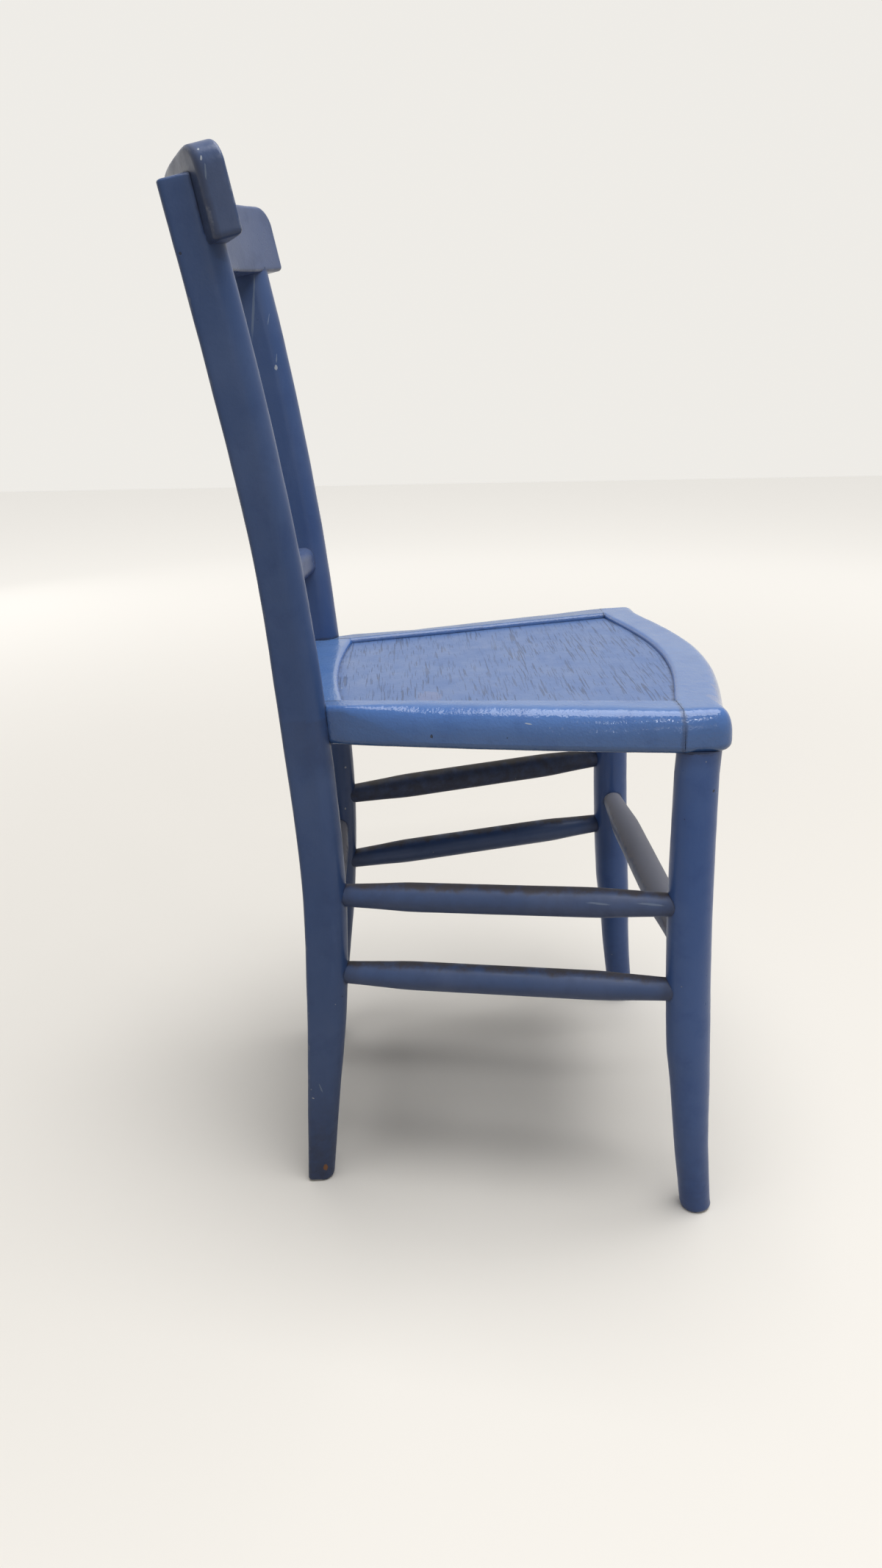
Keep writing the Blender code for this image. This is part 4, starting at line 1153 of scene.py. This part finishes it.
paints = {
    "blueRails": {
        # The pale blue film on the rails' tops is partly dust and partly painted sheen
        "stretch": (90, 20, 90), "dustAndSheen": 0.36, "dustAndSheenReach": 0.22, "dustAndSheenPatchy": 0.2,
        "dustAndSheenColour": (0.175, 0.240, 0.330),
        "marks": (("pale", (-0.1680, -0.0430, 0.4331), (0.006, 0.0034, 0.0006), (0.10, 0, 0)),
                  ("pale", (-0.1719, -0.0605, 0.4355), (0.003, 0.0007, 0.0007), (0, 0, 0)),
                  ("dent", (-0.1484, 0.0284, 0.4196), (0.006, 0.0011, 0.0017), (0, 0, 0)))},
    "blueFrontRail": {
        # The pale blue film on the front and back rails' tops is partly dust and partly painted sheen
        "stretch": (20, 90, 90), "rubAndHighlight": 0.50, "dustAndSheen": 0.36, "dustAndSheenReach": 0.22, "dustAndSheenPatchy": 0.2,
        "dustAndSheenColour": (0.175, 0.240, 0.330),
        "marks": (("rubbed", (-0.1605, -0.1851, 0.4466), (0.016, 0.006, 0.006), (0, 0, 0.3)),
                  ("rubbed", (-0.1291, -0.1946, 0.4445), (0.016, 0.005, 0.005), (0, 0, 0.2)))},
    "bluePosts": {
        # The posts' blue is a darker copy of the front legs' paint: painted shade on the posts
        "colour": (0.031, 0.070, 0.190), "thin": (0.052, 0.094, 0.218), "deep": (0.022, 0.050, 0.145),
        "gloss": 0.36, "peel": 0.5, "reflect": 1.42,
        "marks": (("wood", (-0.1292, 0.1286, 0.0152), (0.008, 0.0023, 0.0037), (0, 0, 0)),
                  ("pale", (-0.1292, 0.1372, 0.0010), (0.010, 0.0080, 0.0012), (0, 0, 0)),
                  ("pale", (-0.1319, 0.1357, 0.0896), (0.004, 0.0013, 0.0006), (0.6, 0, 0)),
                  ("faint", (-0.1321, 0.1285, 0.0995), (0.004, 0.0007, 0.0050), (-0.3, 0, 0)),
                  ("pale", (0.1209, 0.1545, 0.6830), (0.006, 0.0015, 0.0024), (0, 0, 0)),
                  ("faint", (0.1217, 0.1537, 0.6905), (0.006, 0.0006, 0.0042), (0.1, 0, 0)),
                  ("pale", (0.1078, 0.1077, 0.3083), (0.004, 0.0011, 0.0011), (0, 0, 0)),
                  ("pale", (0.1065, 0.1095, 0.2650), (0.004, 0.0009, 0.0013), (0, 0, 0)),
                  ("faint", (0.1238, 0.1590, 0.7230), (0.006, 0.0005, 0.0055), (0.2, 0, 0)),
                  # A painted highlight: a pale streak of light down the far post's inner face
                  ("faint", (0.1230, 0.1714, 0.7350), (0.004, 0.0012, 0.0340), (0.1, 0, 0)),
                  ("dent", (-0.1510, 0.1873, 0.7558), (0.004, 0.0010, 0.0011), (0, 0, 0)))},
    "blueLegs": {
        "colour": (0.041, 0.104, 0.315), "thin": (0.062, 0.128, 0.335), "deep": (0.028, 0.072, 0.235),
        "gloss": 0.34, "peel": 0.5, "reflect": 1.42,
        "marks": (("dent", (-0.1925, -0.1780, 0.3861), (0.004, 0.0012, 0.0012), (0, 0, 0)),
                  ("pale", (-0.1880, -0.1960, 0.0012), (0.012, 0.0080, 0.0014), (0, 0, 0)))},
    "blueCrest": {
        # The crest's blue is a darker copy of the seat rails' paint: painted shade on the crest rail and the
        # stay
        "colour": (0.042, 0.072, 0.165), "thin": (0.075, 0.110, 0.225), "deep": (0.030, 0.052, 0.120),
        "stretch": (18, 120, 120), "gloss": 0.32, "peel": 0.5, "reflect": 1.42, "rubAndHighlight": 0.40, "dustAndSheen": 0.06,
        "marks": (("pale", (-0.1620, 0.1690, 0.8150), (0.0018, 0.0008, 0.0009), (0, 0, 0)),
                  ("pale", (-0.1642, 0.1672, 0.8095), (0.0016, 0.0007, 0.0018), (0, 0, 0)),
                  ("faint", (-0.1648, 0.1650, 0.8015), (0.0018, 0.0006, 0.0050), (0, 0, 0)))},
    "blueRods": {
        "colour": (0.046, 0.088, 0.215), "thin": (0.070, 0.110, 0.235), "deep": (0.030, 0.058, 0.150),
        "stretch": (110, 18, 110), "gloss": 0.40, "peel": 0.35, "reflect": 1.42, "rubAndHighlight": 0.3, "chip": 0.1,
        "grimeAndShade": 0.95, "dustAndSheen": 0.85, "dustAndSheenReach": 0.30, "dustAndSheenColour": (0.052, 0.042, 0.036),
        "marks": (("faint", (-0.1773, -0.0975, 0.2895), (0.006, 0.0100, 0.0008), (0.04, 0, 0)),
                  ("faint", (-0.1844, -0.1372, 0.2909), (0.006, 0.0120, 0.0008), (0.04, 0, 0)))},
    "blueCrossRods": {
        "colour": (0.052, 0.088, 0.205), "thin": (0.080, 0.112, 0.220), "deep": (0.034, 0.058, 0.140),
        "stretch": (18, 110, 110), "gloss": 0.46, "peel": 0.4, "reflect": 1.42, "rubAndHighlight": 0.3, "chip": 0.1,
        "grimeAndShade": 0.95, "dustAndSheen": 0.92, "dustAndSheenReach": 0.80, "dustAndSheenColour": (0.250, 0.255, 0.295)},
    "bluePanel": {
        "colour": (0.062, 0.136, 0.335), "thin": (0.076, 0.152, 0.352), "deep": (0.054, 0.120, 0.305),
        "stretch": (24, 120, 60), "gloss": 0.32, "peel": 0.7, "reflect": 1.45, "rubAndHighlight": 0.0, "grimeAndShade": 0.9,
        "craze": 1.0, "crazeStretch": (24, 520, 1),
        "marks": (("stain", (-0.0971, 0.0283, 0.4364), (0.020, 0.0100, 0.020), (0, 0, 0)),
                  ("pale", (-0.0562, 0.0994, 0.4342), (0.0012, 0.0009, 0.003), (0, 0, 0)))},
}

# What each kind of mark does to the colour, the gloss and the height
markKinds = {
    "pale": {"colour": (0.420, 0.460, 0.510), "share": 0.75, "height": 0.3, "ragged": 0.8},
    "faint": {"colour": (0.210, 0.270, 0.360), "share": 0.45, "height": 0.2, "ragged": 1.4},
    "rubbed": {"colour": (0.300, 0.270, 0.300), "share": 0.22, "height": -0.2, "ragged": 0.9},
    "wood": {"colour": (0.185, 0.085, 0.038), "share": 1.00, "height": -2.5, "ragged": 0.7},
    "dent": {"colour": (0.012, 0.016, 0.035), "share": 0.85, "height": -3.0, "ragged": 0.4},
    "stain": {"colour": (0.300, 0.240, 0.270), "share": 0.16, "height": 0.0, "ragged": 1.6},
}
# Mark colours: crack for dirty joints, film for soil and painted shade, undercoat for pale wear and painted
# highlight lines on arrises
dirtAndPaintedLight = {"crack": (0.010, 0.011, 0.016), "film": (0.026, 0.022, 0.021), "undercoatAndHighlight": (0.250, 0.280, 0.340)}


def useGroup(tree, name, **values):
    node = tree.nodes.new("ShaderNodeGroup")
    node.node_tree = groups[name]
    return fill(tree, node, values.items()).outputs


def markOf(tree, name):
    node = tree.nodes.new("ShaderNodeAttribute")
    node.attribute_name = name
    return node.outputs["Fac"]


def makePaint(name, own):
    look = {**paintBase, **own}
    material, tree, shader = newMaterial(name)
    brush = useGroup(tree, "brush", Colour=look["colour"], Thin=look["thin"], Deep=look["deep"],
                     Stretch=look["stretch"], Gloss=look["gloss"], Peel=look["peel"])
    wearAndHighlight = useGroup(tree, "wearAndHighlight", Edge=markOf(tree, "edgeMark"), Rub=look["rubAndHighlight"], Chip=look["chip"])
    grimeAndShade = useGroup(tree, "grimeAndShade", Joint=markOf(tree, "jointMark"), Soil=markOf(tree, "soilAndShadeMark"),
                     Amount=look["grimeAndShade"])
    dustAndSheen = useGroup(tree, "dustAndSheen", Amount=look["dustAndSheen"], Reach=look["dustAndSheenReach"], Patchy=look["dustAndSheenPatchy"])
    flecks = useGroup(tree, "flecks")
    wood = useGroup(tree, "grain", Stretch=tuple(s * 2.5 for s in look["stretch"]))
    colour, height = brush["Colour"], brush["Height"]

    # Layers from the paint upwards: mask, how much of it, colour, height
    # The first film is soil and painted shade, the up-facing film dust and a painted sheen, and the rubbed
    # layer wear and a painted highlight on arrises
    layers = [(grimeAndShade["Film"], 1.0, dirtAndPaintedLight["film"], 0.0), (dustAndSheen["Mask"], 1.0, look["dustAndSheenColour"], 0.0),
              (wearAndHighlight["Rubbed"], 0.45, dirtAndPaintedLight["undercoatAndHighlight"], 0.0)]
    if look["craze"] > 0:
        craze = useGroup(tree, "craze", Stretch=look["crazeStretch"], Amount=look["craze"])
        layers.append((craze["Mask"], 0.78, tuple(0.40 * c for c in look["deep"]), -1.2))
    layers += [(flecks["Pale"], 0.6, dirtAndPaintedLight["undercoatAndHighlight"], 0.0), (flecks["Dark"], 0.8, dirtAndPaintedLight["crack"], 0.0),
               (wearAndHighlight["Bare"], 1.0, wood["Colour"], -2.5)]
    for kind, centre, size, turn in look["marks"]:
        does = markKinds[kind]
        blot = useGroup(tree, "mark", Centre=centre, Size=size, Turn=turn, Ragged=does["ragged"])
        layers.append((blot["Mask"], does["share"], does["colour"], does["height"]))
    layers.append((grimeAndShade["Line"], 0.65, dirtAndPaintedLight["crack"], -2.0))
    for mask, share, tone, rise in layers:
        colour = blend(tree, times(tree, mask, share), colour, tone)
        if rise:
            height = plus(tree, height, times(tree, mask, rise))
    dull = larger(tree, larger(tree, wearAndHighlight["Bare"], grimeAndShade["Film"]), dustAndSheen["Mask"])
    bump = fill(tree, tree.nodes.new("ShaderNodeBump"), (
        ("Strength", 1.0), ("Distance", 0.0001), ("Height", height)))
    fill(tree, shader, (("Base Color", colour), ("IOR", look["reflect"]), ("Normal", bump.outputs[0]),
                        ("Roughness", plus(tree, brush["Roughness"], times(tree, dull, 0.30), True))))
    return material


def makeBeech():
    material, tree, shader = newMaterial("bareBeech")
    wood = useGroup(tree, "grain", Stretch=(500, 60, 500))
    bump = fill(tree, tree.nodes.new("ShaderNodeBump"), (
        ("Strength", 0.2), ("Distance", 0.0005), ("Height", wood["Height"])))
    fill(tree, shader, (("Base Color", wood["Colour"]), ("Normal", bump.outputs[0]),
                        ("Roughness", ramp(tree, wood["Height"], 0.3, 0.7, 0.5, 0.7))))
    return material


finish = {name: makePaint(name, look) for name, look in paints.items()}
finish["beech"] = makeBeech()
print("materials built")


# The pieces

# Where dirt gathers and where painted shade is laid: distances and heights in metres, and how strong it is
dirtAndShadePlaces = {
    "line": 0.004,              # reach of the dark line at a joint
    "fineLine": 0.003,
    "panelLine": 0.005,
    "seatZone": (0.38, 0.46),   # heights where the seat frame meets a post
    "underSeat": 0.43,
    "lapZone": 0.0085,          # below the crest rail's lap
    "lapReach": 0.004,
    "lapOver": 0.003,
    "foot": (0.75, 0.17),       # at the floor, and how far up it goes
    "postSoil": (0.50, 0.030),  # share and reach of the soil beside a joint
    "legSoil": (0.40, 0.012),
    "railSoil": (0.35, 0.020),
    "rodSoil": (0.60, 0.020),
    # painted shade: darkens the whole far side rail
    "leftRailShade": 0.40,
    # darkens the crest rail's rear face
    "crestBack": 0.45,
    # soil and painted shade for each rod, most on the rods under the seat
    "rodSoilAndShade": {"frontStretcher": 0.10, "rearStretcher": 0.55, "sideStretcherLeftUpper": 0.80,
             "sideStretcherLeftLower": 0.0, "sideStretcherRightUpper": 0.30, "sideStretcherRightLower": 0.20},
}


def atJoint(gap, wide=dirtAndShadePlaces["line"]):
    # 1 in the joint, 0 at this distance from it
    return max(0.0, 1.0 - max(0.0, gap) / wide)


def soilAt(name, gap):
    share, reach = dirtAndShadePlaces[name]
    return share * atJoint(gap, reach)


sockets = {}
for name, node, start, end, kind in stretcherList():
    for spot in (start, end):
        corner = ("front" if spot.y < 0 else "rear", "Left" if spot.x > 0 else "Right")
        sockets.setdefault(corner, []).append((spot, stretchers[kind + "End"]))


def socketMark(co, spots):
    return max(atJoint(abs((co - spot).length - radius)) for spot, radius in spots)


def seatGap(co):
    # How far a point is outside the seat frame
    y = co.y - chair["shiftY"]
    up = co.z - seatPoint(0, y, 0).z
    return math.hypot(max(up, -up - seatFrame["thickness"], 0.0), max(0.0, abs(co.x) - outerSide(y)),
                      max(0.0, y - seatFrame["backRailRear"]))


def frontJoint(co):
    # Between the front rail and the side rails
    return atJoint(abs(co.y - chair["shiftY"]))


def backJoint(co):
    # Between the back rail and the side rails
    return atJoint(abs(abs(co.x) - seatFrame["backRailHalf"]))


def footSoil(co):
    share, height = dirtAndShadePlaces["foot"]
    return share * (1.0 - ease(co.z, 0.0, height)) ** 1.5


for side, word, node in ((1, "Left", "left"), (-1, "Right", "right")):
    post = makePost(side, word, 3 + side)

    def postJoint(co, spots=sockets[("rear", word)]):
        low, high = dirtAndShadePlaces["seatZone"]
        lap, behind = crestRail["bottom"], crestRear(co.x, co.z)
        mark = max(socketMark(co, spots), atJoint(seatGap(co)) if low < co.z < high else 0.0)
        if lap - dirtAndShadePlaces["lapZone"] < co.z < lap + dirtAndShadePlaces["lapOver"] and co.y < behind + 0.001:
            mark = max(mark, atJoint(abs(co.z - lap)))
        if co.z >= lap + rearPost["lapGap"]:
            mark = max(mark, atJoint(abs(co.y - behind), dirtAndShadePlaces["fineLine"]))
        return mark

    def postSoil(co):
        return max(footSoil(co), soilAt("postSoil", seatGap(co)) if co.z < dirtAndShadePlaces["underSeat"] else 0.0)

    setMark(post, "jointMark", postJoint)
    setMark(post, "soilAndShadeMark", postSoil)
    dress(post, "blue_paint_legs", finish["bluePosts"], "rear_post_" + node)

    leg = makeFrontLeg(side, word, 8 + side)

    def legJoint(co, spots=sockets[("front", word)]):
        return max(socketMark(co, spots), atJoint(seatGap(co)))

    setMark(leg, "jointMark", legJoint)
    setMark(leg, "soilAndShadeMark", lambda co: max(0.5 * footSoil(co), soilAt("legSoil", seatGap(co))))
    dress(leg, "blue_paint_legs", finish["blueLegs"], "front_leg_" + node)

    rail = makeSideRail(side, word, 12 + side)

    def railJoint(co):
        behind = backJoint(co) if co.y > seatFrame["backJointFrom"] else 0.0
        return max(frontJoint(co), atJoint(postGap(co)), behind)

    # The far side rail gets painted shade all over; beside the post it gets soil
    def railSoil(co, farRailShade=dirtAndShadePlaces["leftRailShade"] if side > 0 else 0.0):
        return max(farRailShade, soilAt("railSoil", postGap(co)))

    setMark(rail, "jointMark", railJoint)
    setMark(rail, "soilAndShadeMark", railSoil)
    dress(rail, "blue_paint_frame", finish["blueRails"], "seat_side_rail_" + node)
print("posts, legs and side rails made")

frontRail = makeFrontRail(21)
setMark(frontRail, "jointMark", frontJoint)
dress(frontRail, "blue_paint_frame", finish["blueFrontRail"], "seat_front_rail")
backRail = makeBackRail(23)
setMark(backRail, "jointMark", lambda co: max(backJoint(co), atJoint(postGap(co))))
dress(backRail, "blue_paint_frame", finish["blueFrontRail"], "seat_back_rail")
panel = makePanel(25)


def panelJoint(co):
    y = co.y - chair["shiftY"]
    room = min(openingSide(y) - abs(co.x), y - min(openingFront(co.x), 0), rearEdge(co.x, 0) - y)
    return 0.8 * atJoint(room, dirtAndShadePlaces["panelLine"])


setMark(panel, "jointMark", panelJoint)
dress(panel, "blue_paint_panel", finish["bluePanel"], "seat_panel")
print("seat made")

crest = makeCrest(31)


def crestJoint(co):
    # The lap shows behind and below, not on the front
    rear, reach, over = crestRear(co.x, co.z), dirtAndShadePlaces["lapReach"], dirtAndShadePlaces["lapOver"]
    behind = co.y > rear - reach and co.z < rearPost["stations"][-1][0] + over
    below = co.z < crestRail["bottom"] + reach and co.y > rear - crestRail["thickness"] + over
    return atJoint(abs(postGap(co)), dirtAndShadePlaces["fineLine"]) if behind or below else 0.0


# The crest rail's rear face is made darker
def crestSoil(co):
    behind = co.y > crestRear(co.x, co.z) - dirtAndShadePlaces["lapReach"]
    return dirtAndShadePlaces["crestBack"] if behind else 0.0


setMark(crest, "jointMark", crestJoint)
setMark(crest, "soilAndShadeMark", crestSoil)
dress(crest, "blue_paint_frame", finish["blueCrest"], "crest_rail")
stayPiece = makeStay(33)
setMark(stayPiece, "jointMark", lambda co: atJoint(postGap(co), dirtAndShadePlaces["fineLine"]))
dress(stayPiece, "blue_paint_frame", finish["blueCrest"], "stay_rail")
print("crest rail and stay made")

rodTree = makeStretcherTree()
for number, (name, node, start, end, kind) in enumerate(stretcherList()):
    ahead = (end - start).normalized() * stretchers["socket"]
    look = finish["blueRods" if kind == "side" else "blueCrossRods"]
    rod = treeMesh(name, rodTree, {
        "Start": start - ahead, "End": end + ahead, "End Radius": stretchers[kind + "End"],
        "Swell Radius": stretchers[kind + "Swell"], "Seed": 40.0 + number, "Paint": look,
        "Shoulder Length": stretchers["socket"] + stretchers[kind + "Start"]})
    # each rod's share of soil and painted shade
    soilAndShade = dirtAndShadePlaces["rodSoilAndShade"][name]
    gap = {"side": lambda co: legGap(co) if co.y < 0 else postGap(co), "front": legGap, "rear": postGap}[kind]
    setMark(rod, "jointMark", lambda co, gap=gap: atJoint(gap(co), dirtAndShadePlaces["fineLine"]))
    setMark(rod, "soilAndShadeMark", lambda co, soilAndShade=soilAndShade, gap=gap: max(soilAndShade, soilAt("rodSoil", gap(co))))
    setMark(rod, "edgeMark", lambda co: 0.0)
    dress(rod, "blue_paint_stretchers", look, node)
print("stretchers made")

for node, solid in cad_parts.items():
    if "dowel" in node:
        for slotItem in solid.material_slots:
            slotItem.material = finish["beech"]
